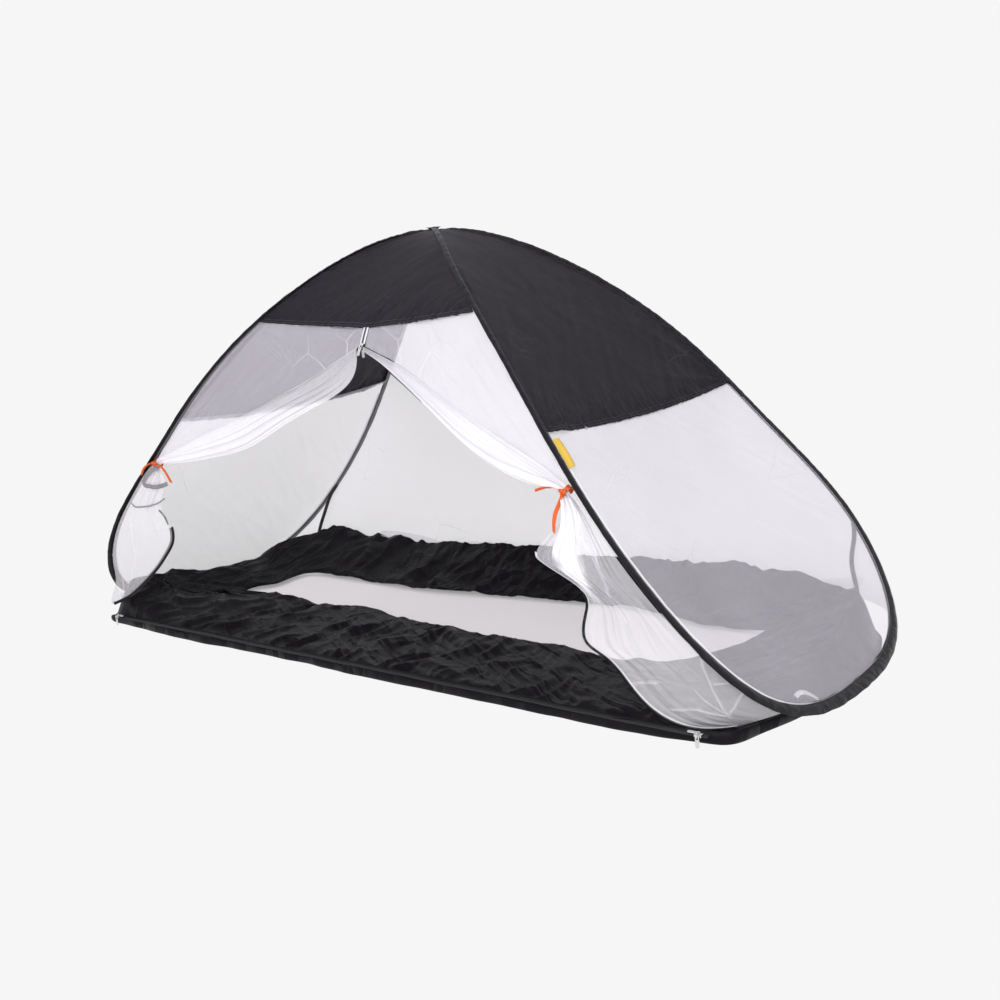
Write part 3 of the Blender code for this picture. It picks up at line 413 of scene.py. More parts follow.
# Sleeves: a strip of black cloth folded round each wire and sewn down beside it.
# Slack gathers in it wherever the wire bends hard, so it puckers all the way along.
SLEEVE_TOP, SLEEVE_TIP = 0.0065, 0.0135
SLEEVE_HALF_THICK = 0.0040
SLEEVE_EDGE_THICK = 0.0011
# Thread spacing and relief of the weave
TAFFETA_WEAVE = (0.0011, 0.00008)
black_taffeta = woven(
    "black polyester taffeta", "#2e2a31", "#242026", *TAFFETA_WEAVE, 0.42, specular=0.07,
    crease=0.0022, crease_size=0.085,
)
sleeve_taffeta = woven(
    "black taffeta drawn over the wire", "#1c191e", "#141116", *TAFFETA_WEAVE, 0.32, specular=0.24,
    crease=0.0020, crease_size=0.022,
)


def sleeve_half(station):
    return SLEEVE_TOP + (SLEEVE_TIP - SLEEVE_TOP) * np.asarray(station, float) / SPANS


def bumps(places, size, seed):
    """Smooth noise of about -0.5 to 0.5 with lumps of this size, which may differ by axis."""
    scaled = np.asarray(places, float).reshape(-1, 3) / size + seed * 7.31
    return np.array([noise.noise(Vector(p)) for p in scaled]).reshape(np.shape(places)[:-1])


def along_line(run, size, seed):
    """Smooth noise along a line, with lumps of this length."""
    return bumps(np.stack([run, 0 * run, 0 * run], axis=1), size, seed)


def bell(gap, width):
    """1 where there is no gap, falling smoothly to nothing past this width."""
    return np.exp(-((gap / width) ** 2))


def facets(places, size, seed):
    """Crumpled cloth: flat facets between sharp ridges, from 0 in a facet's middle to 1 on a ridge."""
    scaled = np.asarray(places, float).reshape(-1, 3) / size + seed * 5.17
    near = [noise.voronoi(Vector(p))[0] for p in scaled]
    return np.array([1.0 - min(1.0, 1.6 * (d[1] - d[0])) for d in near]).reshape(np.shape(places)[:-1])


def hoop_axes(side, stations):
    """Centre of the wire, the way into the end panel and the way out of it."""
    centre = hoop_line(side, stations)
    along = unit(hoop_line(side, stations + 0.01) - hoop_line(side, stations - 0.01))
    from_tip = np.clip(np.minimum(stations, 2 * SPANS - stations), 0.02, SPANS - 0.02)
    slope = arm_at(from_tip + 0.01) - arm_at(from_tip - 0.01)
    slope = unit(slope[:, [0, 2]])
    out = np.stack([-side * slope[:, 1], np.zeros(len(slope)), slope[:, 0]], axis=1)
    out = unit(out - np.sum(out * along, axis=1)[:, None] * along)
    inward = np.cross(out, along)
    middle = np.array((side * loop[3][0], 0.0, loop[3][2]))
    inward[np.sum(inward * (middle - centre), axis=1) < 0] *= -1
    return centre, inward, out


# The right front arm and the left back arm are one stretch of sleeve and pass over the other two at the ridge
CROSSING_LIFT = 0.0028
SLEEVE_RINGS, SLEEVE_ROUND = 801, 16
SIDES = ((1, "right"), (-1, "left"))
PUCKER_ROUND = 0.010
sleeve_edges = {}
for side, hoop_word in SIDES:
    even = np.linspace(-1.0, 1.0, SLEEVE_RINGS)
    stations = SPANS + np.sign(even) * np.abs(even) ** 1.12 * (SPANS - 0.005)
    centre, inward, out = hoop_axes(side, stations)
    from_tip = np.minimum(stations, 2 * SPANS - stations)
    over = np.where(stations < SPANS, 1.0, -1.0) * side
    centre[:, 2] += CROSSING_LIFT * over * bell(from_tip, 0.10)
    half = sleeve_half(from_tip) * (1.0 + 0.16 * bumps(centre, 0.045, 3)) + 0.0008 * bell(from_tip, 0.5)
    angles = np.linspace(0.0, 2 * math.pi, SLEEVE_ROUND + 1)[:-1]
    ring = np.cos(angles)[None, :]
    thick = SLEEVE_EDGE_THICK + (SLEEVE_HALF_THICK - SLEEVE_EDGE_THICK) * (1.0 - ring**2)
    rise = np.sin(angles)[None, :] * thick
    skin = centre[:, None] + inward[:, None] * (ring * half[:, None])[..., None]
    skin = skin + out[:, None] * rise[..., None]
    run = length_along(centre)[:, None]
    round_way = [PUCKER_ROUND * turn + 0 * run for turn in (np.cos(angles), np.sin(angles))]
    plan = np.stack([run + 0.004 * ring, *round_way], axis=-1)
    pucker = bumps(plan, np.array((0.009, 0.020, 0.020)), 5 + side)
    pucker += 0.6 * bumps(plan, np.array((0.022, 0.03, 0.03)), 9)
    away = unit(skin - centre[:, None])
    strength = 0.0009 + 0.0008 * np.exp(-from_tip / 1.6)[:, None]
    skin += away * (strength * pucker * (0.4 + 0.6 * np.abs(np.sin(angles))))[..., None]
    sleeve = sheet_mesh(f"cloth_sleeve_{hoop_word}", skin, sleeve_taffeta, 0.0, wrap=True)
    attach(sleeve, f"{hoop_word}_hoop")
    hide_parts(f"sleeve_{hoop_word}")
    seam = centre + inward * (half * 0.72)[:, None] + out * (SLEEVE_EDGE_THICK + 0.0016)
    sleeve_edges[hoop_word] = seam[12:-12]

# Panels: where a cloth sheet lies between the arms, from the curve of the wire.
# An end panel is nearly flat; the front and back walls bow outwards towards the floor.
WALL_SAG, END_SAG = 0.050, 0.012
BAND_HALF_LENGTH, BAND_HALF_WIDTH = 0.985, 0.413
WALL_POWER, BAND_POWER = 4.0, 13.0
UNDER_SLEEVE = 0.0025
BACKWARD = np.array((0.0, 1.0, 0.0))
# Over this share of its width next to an arm, cloth between the hoops counts as that arm's alone
FIXED_SHARE = 0.075
widest = int(np.argmax(ARM[:, 1]))


def inner_limit(length, across):
    """How far a panel reaches sideways at each station, with its edge just inside the sleeve's seam."""
    gap = sleeve_half(STATIONS) - UNDER_SLEEVE
    along, aside = np.gradient(length), np.gradient(across)
    size = np.maximum(np.hypot(along, aside), 1e-9)
    order = np.argsort(length + gap * aside / size)
    return np.interp(length, (length + gap * aside / size)[order], (across - gap * along / size)[order])


END_LIMIT = inner_limit(END_RUN, ARM[:, 1])
WALL_LIMIT = inner_limit(WALL_RUN, ARM[:, 0])


def wall_reach(station):
    """How far the front and back walls reach sideways."""
    return np.interp(station, STATIONS, WALL_LIMIT)


def on_end(side, station, share):
    """Points of an end panel: share runs from -1 at the front arm to 1 at the back arm."""
    at = arm_at(station)
    sag = END_SAG * np.sin(math.pi * station / SPANS) * (1.0 - share * share)
    y = np.interp(station, STATIONS, END_LIMIT) * share
    return np.stack([side * (at[..., 0] - sag), y, at[..., 2] - sag], axis=-1)


def on_wall(face, station, share, back=0.0):
    """Points of the front (-1) or back (1) wall: share runs from -1 at the left arm to 1 at the right arm."""
    at = arm_at(station)
    low = np.where(station > STATIONS[widest], 1.0 - at[..., 2] / ARM[widest, 2], 0.0)
    middle = np.where(low > 0, ARM[widest, 1] + (BAND_HALF_WIDTH - ARM[widest, 1]) * low, at[..., 1])
    power = WALL_POWER + (BAND_POWER - WALL_POWER) * low
    sag = WALL_SAG * np.sin(math.pi * station / SPANS) * (1.0 - share * share)
    depth = middle + (at[..., 1] - middle) * np.abs(share) ** power - sag - back
    x = wall_reach(station) * share
    return np.stack([x, face * depth, at[..., 2]], axis=-1)


def on_front(x, z, back=0.0):
    """Points of the front wall at an X and a height, set in by back."""
    x, z = np.asarray(x, float), np.asarray(z, float)
    station = station_at(z)
    share = np.clip(x / wall_reach(station), -1.0, 1.0)
    at = on_wall(-1, station, share, back)
    return np.stack([x + 0.0 * z, at[..., 1], z + 0.0 * x], axis=-1)


def normals(points):
    return unit(np.cross(np.gradient(points, axis=0), np.gradient(points, axis=1)))


def follow_both_hoops(piece):
    """Bakes the transform of a piece of cloth between the hoops and works out its share of the way from right
    to left, which nothing uses further.
    """
    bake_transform(piece)
    places = np.array([v.co for v in piece.data.vertices])
    reach = np.interp(-places[:, 2], -ARM[:, 2], ARM[:, 0])
    share = 0.5 - 0.5 * places[:, 0] / np.maximum(reach, 0.004)
    share = np.clip((share - FIXED_SHARE) / (1.0 - 2.0 * FIXED_SHARE), 0.0, 1.0)


def streaks(u, v, length, width, seed):
    """Soft straight creases of this length and width, at u along them and v across them in metres."""
    flat = np.stack([u / length, v / width, np.full_like(u, seed * 3.7)], axis=-1)
    value = bumps(flat, 1.0, seed)
    return -np.abs(value) + 0.25


# Roof: four pieces of black polyester, sewn into the sleeves and hemmed along the mesh.
# The hems are gathered, so short creases run up from them, and long ones run from the corners to the ridge.
ROOF_CLOTH = 0.0008
ROOF_TOP_STATION = 0.16
HEM_WIDTH = 0.013
HEM_STITCHES = (0.004, 0.011)
END_HEM_HEIGHT, END_HEM_DIP = 0.555, 0.008
DOOR_HEM_HEIGHT, DOOR_HEM_DIP = 0.780, 0.024


def end_hem(share):
    return station_at(END_HEM_HEIGHT - END_HEM_DIP * (1.0 - share * share))


def wall_hem(share):
    return station_at(DOOR_HEM_HEIGHT - DOOR_HEM_DIP * (1.0 - np.abs(share) ** 1.3))


def rays(points, corner, spread, reach, seed):
    """Creases that run out from a corner, narrow at its end and lost after this reach."""
    away = points - corner
    distance = np.linalg.norm(away, axis=-1)
    middle = points.shape[1] // 2
    first, second = unit(points[-1, middle] - corner), unit(points[0, middle] - corner)
    angle = np.arctan2(np.sum(away * second, axis=-1), np.sum(away * first, axis=-1))
    plan = np.stack([angle * spread, distance * 3.0, np.full_like(angle, seed * 1.7)], axis=-1)
    ridge = 0.5 - 2.0 * np.abs(bumps(plan, 1.0, seed))
    return ridge * np.minimum(1.0, distance / 0.04) * np.exp(-((distance / reach) ** 1.5))


def gathered_roof(at, hem, side, rows, columns, edge_fold, fold_last, seed):
    """Rows of a roof piece from the ridge to its hem, with its creases and the two seams' puckers.

    Along one arm the cloth is tucked, so short wrinkles as wide as edge_fold lie beside that sleeve.
    """
    share = np.linspace(-1.0, 1.0, columns)[None, :]
    share = share - 0.055 * np.sin(math.pi * share)
    down = np.linspace(0.0, 1.0, rows)[:, None] ** 0.9
    station = ROOF_TOP_STATION + (hem(share) - ROOF_TOP_STATION) * down
    flat = at(side, station, share + 0 * down)
    way_out = normals(flat)
    if np.sum(way_out * (flat - (0.0, 0.0, 0.3))) < 0:
        way_out = -way_out
    to_hem = np.linalg.norm(flat - flat[-1:], axis=2)
    width = np.linalg.norm(flat - flat[:, :1], axis=2)
    other_gap = np.linalg.norm(flat - flat[:, -1:], axis=2)
    gap = np.minimum(width, other_gap)
    tucked = other_gap if fold_last else width
    along = np.cumsum(np.pad(np.linalg.norm(np.diff(flat, axis=0), axis=2), ((1, 0), (0, 0))), axis=0)
    bow = 0.25 * width - 0.10 * np.sin(9.0 * width)
    gathers = streaks(to_hem, width + 0.25 * to_hem, 0.07, 0.0075, seed) * np.exp(-((to_hem / 0.034) ** 1.3))
    short = streaks(to_hem, width - 0.4 * to_hem, 0.06, 0.013, seed + 6) * bell(to_hem, 0.075)
    long_ones = streaks(to_hem + bow, width - 0.45 * to_hem, 0.30, 0.055, seed + 1) * (0.25 + 0.75 * down)
    swell = bumps(flat, 0.19, seed + 3)
    small = bumps(flat, 0.055, seed + 5)
    middle = flat.shape[1] // 2
    fan = rays(flat, flat[-1, 0], 4.2, 0.20, seed + 7) + rays(flat, flat[-1, -1], 4.2, 0.20, seed + 8)
    fan = fan + 0.6 * rays(flat, flat[0, middle], 5.0, 0.22, seed + 9)
    fade = np.minimum(1.0, gap / 0.012)
    rise = 0.0066 * gathers + 0.0038 * short
    rise = rise + (0.0036 * long_ones + 0.0042 * swell + 0.0006 * small + 0.0056 * fan) * fade
    ends = np.minimum(1.0, gap / 0.003)
    tight = bell(tucked, edge_fold) * ends
    pucker = streaks(tucked, along + 1.2 * tucked, 0.035, 0.016, seed + 4) * tight
    small_pucker = streaks(gap, along + 0.5 * gap, 0.03, 0.009, seed + 12) * bell(gap, 0.010) * ends
    groove = bell(tucked - 0.9 * edge_fold, 0.0025)
    rise = rise + 0.0075 * pucker + 0.0030 * small_pucker - 0.0014 * groove
    hem_band = np.clip((HEM_WIDTH - to_hem) / 0.0015, 0.0, 1.0)
    points = flat + way_out * (rise + 0.0009 * hem_band)[..., None]
    scallop = 0.0022 * streaks(0 * width, width, 1.0, 0.010, seed + 10) * np.exp(-to_hem / 0.010)
    down_way = unit(flat[-1:] - flat[-2:-1])
    return points + down_way * scallop[..., None], way_out


def fix(piece, body):
    """Fixes a piece to one body; a piece with none of its own only has its transform baked."""
    if body:
        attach(piece, body)
    else:
        follow_both_hoops(piece)


overlock_thread = woven("grey overlock thread", "#bdbac0", "#99969c", 0.0020, 0.0004, 0.8)
hem_lines = []
for name, at, hem, side, body, columns, rows, edge_fold, fold_last in (
    ("roof_right", on_end, end_hem, 1, "right_hoop", 311, 150, 0.024, True),
    ("roof_left", on_end, end_hem, -1, "left_hoop", 311, 150, 0.024, False),
    ("roof_front", on_wall, wall_hem, -1, None, 281, 110, 0.026, False),
    ("roof_back", on_wall, wall_hem, 1, None, 281, 110, 0.026, True),
):
    seed = len(hem_lines) * 11 + 11
    points, way_out = gathered_roof(at, hem, side, rows, columns, edge_fold, fold_last, seed)
    roof = sheet_mesh(f"cloth_{name}", points, black_taffeta, ROOF_CLOTH)
    fix(roof, body)
    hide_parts(name)
    # Grey overlock thread binds the cut edge on the inside
    edge = points[-1, 3:-3]
    up_way = unit(points[-4, 3:-3] - edge)
    inside = way_out[-2, 3:-3] * 0.0013
    wobble = 0.0008 * bumps(edge, 0.006, 21)[:, None]
    strip = np.stack([edge + up_way * (k + wobble) - inside for k in (-0.0012, 0.0, 0.0012, 0.0026)], axis=1)
    overlock = sheet_mesh(f"overlock_{name}", strip, overlock_thread)
    fix(overlock, body)
    run = np.linalg.norm(points - points[-1:], axis=2)[::-1]
    for back in HEM_STITCHES:
        line = np.array([columns_at(back, run[:, j], points[::-1, j]) for j in range(4, columns - 4)])
        hem_lines.append((name, body, line + way_out[-6, 4:-4] * (ROOF_CLOTH / 2 + 0.0003)))

# Stitches: black thread along the hems and the sleeves.
# Each stitch is a short raised loop, 3 mm long.
STITCH_PITCH = 0.0045


def repeated(name, line, pitch, shape, material, scale=1.0):
    """Copies of one small shape at an even pitch along a line, made with geometry nodes."""
    mesh = bpy.data.meshes.new(name)
    mesh.from_pydata([tuple(p) for p in line], [(i, i + 1) for i in range(len(line) - 1)], [])
    item = new_object(name, mesh)
    tree = bpy.data.node_groups.new(name, "GeometryNodeTree")
    tree.interface.new_socket("Geometry", in_out="INPUT", socket_type="NodeSocketGeometry")
    pitch_id = tree.interface.new_socket("Pitch", in_out="INPUT", socket_type="NodeSocketFloat").identifier
    scale_id = tree.interface.new_socket("Scale", in_out="INPUT", socket_type="NodeSocketFloat").identifier
    tree.interface.new_socket("Geometry", in_out="OUTPUT", socket_type="NodeSocketGeometry")
    given = add_node(tree, "NodeGroupInput")
    curve = add_node(tree, "GeometryNodeMeshToCurve", {"Mesh": given.outputs["Geometry"]})
    spacing = {"Curve": curve, "Length": given.outputs["Pitch"]}
    points = add_node(tree, "GeometryNodeCurveToPoints", spacing, mode="LENGTH")
    copied = {"Points": points.outputs["Points"], "Rotation": points.outputs["Rotation"]}
    copied.update(Instance=shape(tree), Scale=given.outputs["Scale"])
    copies = add_node(tree, "GeometryNodeInstanceOnPoints", copied)
    real = add_node(tree, "GeometryNodeRealizeInstances", {"Geometry": copies})
    dyed = add_node(tree, "GeometryNodeSetMaterial", {"Geometry": real, "Material": material})
    add_node(tree, "NodeGroupOutput", {"Geometry": dyed})
    modifier = item.modifiers.new("repeat", "NODES")
    modifier.node_group = tree
    modifier[pitch_id] = pitch
    modifier[scale_id] = scale
    settle(item)
    item.data.shade_smooth()
    return item


def bent_thread(tree, line, corners, radius):
    """A round thread of this radius along a curve."""
    ring = add_node(tree, "GeometryNodeCurvePrimitiveCircle", {"Resolution": corners, "Radius": radius})
    return add_node(tree, "GeometryNodeCurveToMesh", {"Curve": line, "Profile Curve": ring})


def stitch_shape(tree):
    """A 3 mm thread that dips into the cloth at both ends."""
    ends = {"Start": (0, -0.0004, -0.0014), "End": (0, -0.0004, 0.0014)}
    bend = {"Resolution": 4, "Middle": (0, 0.0005, 0), **ends}
    arc = add_node(tree, "GeometryNodeCurveQuadraticBezier", bend)
    return bent_thread(tree, arc, 5, 0.00035)


def plain(name, shade, dark, roughness, grain, depth, specular=0.5):
    """A solid surface, slightly uneven in colour and finish from fine noise in the object's own metres."""
    material, tree, shader = new_material(name)
    place = add_node(tree, "ShaderNodeTexCoord").outputs["Object"]
    grit, colour = uneven_dye(tree, place, 1 / grain, 3.0, dark, shade)
    tree.links.new(colour, shader.inputs["Base Color"])
    polish = {"Value": grit, "To Min": roughness - 0.07, "To Max": roughness + 0.07}
    tree.links.new(add_node(tree, "ShaderNodeMapRange", polish).outputs[0], shader.inputs["Roughness"])
    bump = add_node(tree, "ShaderNodeBump", {"Height": grit, "Distance": depth, "Strength": 0.5})
    tree.links.new(bump.outputs[0], shader.inputs["Normal"])
    shader.inputs["Specular IOR Level"].default_value = specular
    return material


black_thread = plain("dark grey polyester thread", "#68666c", "#4a484e", 0.6, 0.0009, 0.0001)
for number, (name, body, line) in enumerate(hem_lines):
    row = repeated(f"stitches_{name}_{number % 2}", line, STITCH_PITCH, stitch_shape, black_thread)
    fix(row, body)
for hoop_word, line in sleeve_edges.items():
    row = repeated(f"stitches_sleeve_{hoop_word}", line, STITCH_PITCH, stitch_shape, black_thread)
    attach(row, f"{hoop_word}_hoop")

# Insect mesh: white knitted net with holes of about 1 mm, sewn into the sleeves and under the roof's hems.
# It is half see-through, so black behind it looks grey and two or three layers of it look white.
NET_PITCH = 0.0018
NET_UNDER_HEM = 0.05
NET_BEHIND, HEM_TUCK, TUCK_REACH = 0.0012, 0.005, 0.014
END_FOOT_STATION, BACK_FOOT_HEIGHT = 5.965, 0.062


def insect_net(name, gathered=False, creased=0.25, shades=("#efe8f4", "#fbf6fe")):
    """White net: see-through holes between its threads, denser where fine pleats lie over each other.

    Thin bright lines show where a crease doubles it.
    """
    material, tree, shader = new_material(name)
    place = add_node(tree, "ShaderNodeUVMap", uv_map="weave").outputs[0]
    threads = thread_height(tree, place, NET_PITCH, "MAXIMUM")
    holes = {"Value": threads, "From Min": 0.80, "From Max": 0.92, "To Min": 0.145, "To Max": 0.78}
    cover = add_node(tree, "ShaderNodeMapRange", holes)
    _, line = creases(tree, drawn_aside(tree, place, 5.0, 1.0, 0.10), 9.0, 0.016)
    dense = in_patches(tree, place, 3.1, 1.0, 0.50, 0.66, creased, line)
    if gathered:
        measured = add_node(tree, "ShaderNodeUVMap", uv_map="gather")
        amount = add_node(tree, "ShaderNodeSeparateXYZ", {0: measured}).outputs["Y"]
        dense = add_node(tree, "ShaderNodeMath", {0: dense, 1: amount}, operation="MAXIMUM")
    open_part = add_node(tree, "ShaderNodeMath", {0: 1.0, 1: cover}, operation="SUBTRACT")
    closing = {0: open_part, 1: dense, 2: cover}
    alpha = add_node(tree, "ShaderNodeMath", closing, operation="MULTIPLY_ADD", use_clamp=True)
    tree.links.new(alpha.outputs[0], shader.inputs["Alpha"])
    tree.links.new(uneven_dye(tree, place, 9.0, 3.0, *shades)[1], shader.inputs["Base Color"])
    shader.inputs["Roughness"].default_value = 0.55
    shader.inputs["Specular IOR Level"].default_value = 0.3
    return material


net = insect_net("white knitted insect net")
packed_net = insect_net("white insect net, creased from packing", creased=0.50)
# Its shades are painted lighter than the flat net's: painted light, for the light that passes between the
# layers of its pleats
gathered_net = insect_net("white insect net in fine pleats", gathered=True, shades=("#f5f1f8", "#fcfafe"))


for side, hoop_word in SIDES:
    share = np.linspace(-1.0, 1.0, 181)[None, :]
    down = np.linspace(0.0, 1.0, 150)[:, None]
    first = end_hem(share) - NET_UNDER_HEM
    flat = on_end(side, first + (END_FOOT_STATION - first) * down, share + 0 * down)
    way_in = normals(flat)
    way_in *= np.sign(np.sum(way_in * ((0, 0, 0.25) - flat), axis=2, keepdims=True))
    depth = np.linalg.norm(flat - flat[:1], axis=2)
    slack = np.minimum(1.0, (1.0 - np.abs(share)) / 0.10) * np.minimum(1.0, depth / 0.03)
    slanting = flat[..., 1] - flat[..., 2], flat[..., 1] + 1.3 * flat[..., 2]
    waves = 0.0060 * bumps(flat, 0.17, 31 + side) + 0.0035 * streaks(*slanting, 0.30, 0.05, 33 + side)
    points = flat + way_in * (NET_BEHIND + HEM_TUCK * bell(depth, TUCK_REACH) + waves * slack)[..., None]
    net_end = sheet_mesh(f"net_end_{hoop_word}", points, net)
    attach(net_end, f"{hoop_word}_hoop")
    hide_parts(f"mesh_{hoop_word}")

share = np.linspace(-1.0, 1.0, 281)[None, :]
down = np.linspace(0.0, 1.0, 150)[:, None]
first = wall_hem(share) - NET_UNDER_HEM
flat = on_wall(1, first + (station_at(BACK_FOOT_HEIGHT) - first) * down, share + 0 * down)
flat[..., 1] += 0.010 * np.clip((0.16 - flat[..., 2]) / 0.10, 0.0, 1.0) * (1.0 - np.abs(share) ** 8)
foot = np.clip((0.12 - flat[..., 2]) / 0.05, 0.0, 1.0)
slack = np.minimum(1.0, (1.0 - np.abs(share)) / 0.08) * np.minimum(1.0, down / 0.04)
waves = 0.0060 * bumps(flat, 0.20, 41) + 0.0030 * streaks(flat[..., 2], flat[..., 0], 0.45, 0.045, 43)
waves += foot * 0.005 * bumps(flat, np.array((0.05, 1.0, 0.2)), 44)
depth = np.linalg.norm(flat - flat[:1], axis=2)
set_in = NET_BEHIND + HEM_TUCK * bell(depth, TUCK_REACH) + waves * slack
points = flat - BACKWARD * set_in[..., None]
net_back = sheet_mesh("net_back", points, net)
follow_both_hoops(net_back)
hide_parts("mesh_back")

# Frill: the net's spare length at the back.
# It hangs in loose waves over the top of the floor band, and ends short of both corners.
FRILL_ENDS, FRILL_FULL = (-0.62, 0.86), (-0.50, 0.74)
FRILL_HEIGHT, FRILL_DEPTH = 0.092, 0.384
frill_x = np.linspace(*FRILL_ENDS, 320)[:, None]
frill_d = np.linspace(0.0, 1.0, 16)[None, :]
top_z = FRILL_HEIGHT + 0.030 * along_line(frill_x[:, 0], 0.16, 46)[:, None]
tuck = np.interp(frill_x, (FRILL_ENDS[0], *FRILL_FULL, FRILL_ENDS[1]), (0.0, 1.0, 1.0, 0.0))
frill_z = top_z - frill_d * (0.030 + 0.014 * np.sin(frill_x * 9.0)) * (0.4 + 0.6 * tuck)
frill = np.stack([frill_x + 0 * frill_d, 0 * frill_z, frill_z], axis=-1)
frill[..., 1] = FRILL_DEPTH - 0.006 * frill_d * tuck - 0.012 * bumps(frill, np.array((0.05, 1.0, 0.10)), 47)
frill_piece = sheet_mesh("net_frill_back", frill, net)
follow_both_hoops(frill_piece)

# Seam allowance: the net's edge, doubled and turned in beside the sleeve.
# It shows as a fine white line.
SEAM_STATIONS, SEAM_IN, SEAM_WIDE = (2.75, 5.80), 0.0045, 0.0052
for side, hoop_word in SIDES:
    for arm_word, hand in (("front", -1), ("back", 1)):
        stations = np.linspace(*SEAM_STATIONS, 260)
        edge = on_end(side, stations, np.full_like(stations, hand))
        nearer = on_end(side, stations, np.full_like(stations, hand * 0.98))
        inward = unit(nearer - edge)
        _, _, out = hoop_axes(side, stations if hand < 0 else 2 * SPANS - stations)
        run = edge + inward * SEAM_IN + out * 0.0016
        run += inward * (0.0012 * bumps(run, 0.03, 48))[:, None]
        wide = inward + out * 0.35
        steps = np.linspace(-0.5, 0.5, 4)[None, :, None]
        points = run[:, None] + wide[:, None] * steps * SEAM_WIDE
        doubled = np.full(points.shape[:2], 0.75)
        seam_net = sheet_mesh(f"net_seam_{hoop_word}_{arm_word}", points, gathered_net, gather=doubled)
        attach(seam_net, f"{hoop_word}_hoop")

# Door: two halves of the same net, unzipped, gathered up and tied back to the hoops at shoulder height.
# Above the fold it stays flat, along the fold it hangs in soft pleats, and below the tie it fans out again.
# At each knot: points (X, Z) on the front wall, of the fold or the sleeve and then of the free edge
SWAG = {
    "right": (
        ((0.010, 0.716), (0.012, 0.706)), ((0.084, 0.6915), (0.064, 0.684)), ((0.166, 0.660), (0.124, 0.653)),
        ((0.268, 0.612), (0.222, 0.598)), ((0.369, 0.566), (0.330, 0.530)), ((0.450, 0.533), (0.420, 0.486)),
        ((0.521, 0.506), (0.500, 0.463)), ((0.575, 0.482), (0.560, 0.455)), ((0.600, 0.469), (0.592, 0.452)),
        ((0.6090, 0.4625), (0.6010, 0.4465)), ((0.6160, 0.4520), (0.6020, 0.4390)),
    ),
    "left": (
        ((0.010, 0.716), (0.008, 0.706)), ((0.060, 0.690), (0.002, 0.668)), ((0.128, 0.655), (0.030, 0.628)),
        ((0.205, 0.622), (0.110, 0.588)), ((0.283, 0.590), (0.205, 0.545)), ((0.368, 0.560), (0.304, 0.497)),
        ((0.453, 0.530), (0.410, 0.473)), ((0.530, 0.498), (0.510, 0.459)), ((0.592, 0.471), (0.586, 0.454)),
        ((0.6090, 0.4625), (0.6010, 0.4465)), ((0.6160, 0.4520), (0.6020, 0.4390)),
    ),
}
# The sleeve's height, then the free edge's point
TAIL = {
    "right": (
        (0.425, (0.601, 0.420)), (0.360, (0.575, 0.376)), (0.300, (0.546, 0.322)), (0.245, (0.634, 0.272)),
        (0.200, (0.640, 0.218)), (0.160, (0.636, 0.166)), (0.125, (0.684, 0.136)), (0.095, (0.733, 0.083)),
        (0.072, (0.781, 0.044)), (0.055, (0.829, 0.025)), (0.043, (0.866, 0.020)), (0.036, (0.900, 0.021)),
    ),
    "left": (
        (0.430, (0.590, 0.424)), (0.372, (0.586, 0.397)), (0.315, (0.600, 0.364)), (0.262, (0.600, 0.333)),
        (0.215, (0.584, 0.298)), (0.172, (0.590, 0.256)), (0.135, (0.622, 0.220)), (0.104, (0.660, 0.186)),
        (0.078, (0.710, 0.150)), (0.058, (0.768, 0.114)), (0.045, (0.832, 0.080)), (0.037, (0.882, 0.058)),
    ),
}
SWAG_ROWS, TAIL_ROWS = 190, 180
CREASES = {
    "right": (
        ((0.895, 0.040), (0.876, 0.100), (0.868, 0.165)), ((0.890, 0.045), (0.845, 0.060), (0.800, 0.056)),
        ((0.892, 0.048), (0.860, 0.080), (0.846, 0.100)), ((0.893, 0.046), (0.915, 0.085), (0.934, 0.120)),
        ((0.925, 0.121), (0.881, 0.113)), ((0.728, 0.098), (0.785, 0.109)),
        ((0.634, 0.399), (0.665, 0.297), (0.690, 0.250)), ((0.648, 0.381), (0.739, 0.220)),
        ((0.633, 0.365), (0.639, 0.240)),
    ),
    "left": (
        ((0.864, 0.212), (0.832, 0.193)), ((0.845, 0.185), (0.835, 0.130), (0.850, 0.080)),
        ((0.700, 0.300), (0.735, 0.200), (0.790, 0.130)),
    ),
}
# At the cloth's knots, from the ridge to the floor: how dense its gathers are, how far its folds lap over
# each other, how deep they are, and how far the bundle bellies out
GATHER = {
    "right": (
        0.10, 0.34, 0.54, 0.66, 0.74, 0.78, 0.82, 0.86, 0.92, 0.96, 0.90,
        0.92, 0.92, 0.92, 0.92, 0.70, 0.20, 0.0, 0.0, 0.0, 0.0, 0.02, 0.10,
    ),
    "left": (
        0.10, 0.21, 0.28, 0.33, 0.38, 0.43, 0.49, 0.61, 0.80, 0.92, 0.50,
        0.06, 0.02, 0.0, 0.0, 0.0, 0.0, 0.0, 0.0, 0.0, 0.0, 0.02, 0.10,
    ),
}
OVERLAP = (
    0.02, 0.05, 0.08, 0.10, 0.11, 0.12, 0.12, 0.12, 0.12, 0.11, 0.10,
    0.060, 0.030, 0.012, 0.0, 0.0, 0.0, 0.0, 0.0, 0.0, 0.0, 0.0, 0.0,
)
FOLD_DEPTH = (
    0.002, 0.004, 0.007, 0.009, 0.010, 0.010, 0.009, 0.007, 0.0050, 0.0045, 0.0045,
    0.007, 0.008, 0.008, 0.008, 0.006, 0.005, 0.004, 0.003, 0.002, 0.002, 0.001, 0.0,
)
BELLY = (
    0.002, 0.006, 0.010, 0.016, 0.020, 0.020, 0.018, 0.012, 0.004, 0.002, 0.003,
    0.008, 0.014, 0.018, 0.018, 0.014, 0.010, 0.008, 0.006, 0.004, 0.002, 0.001, 0.0,
)
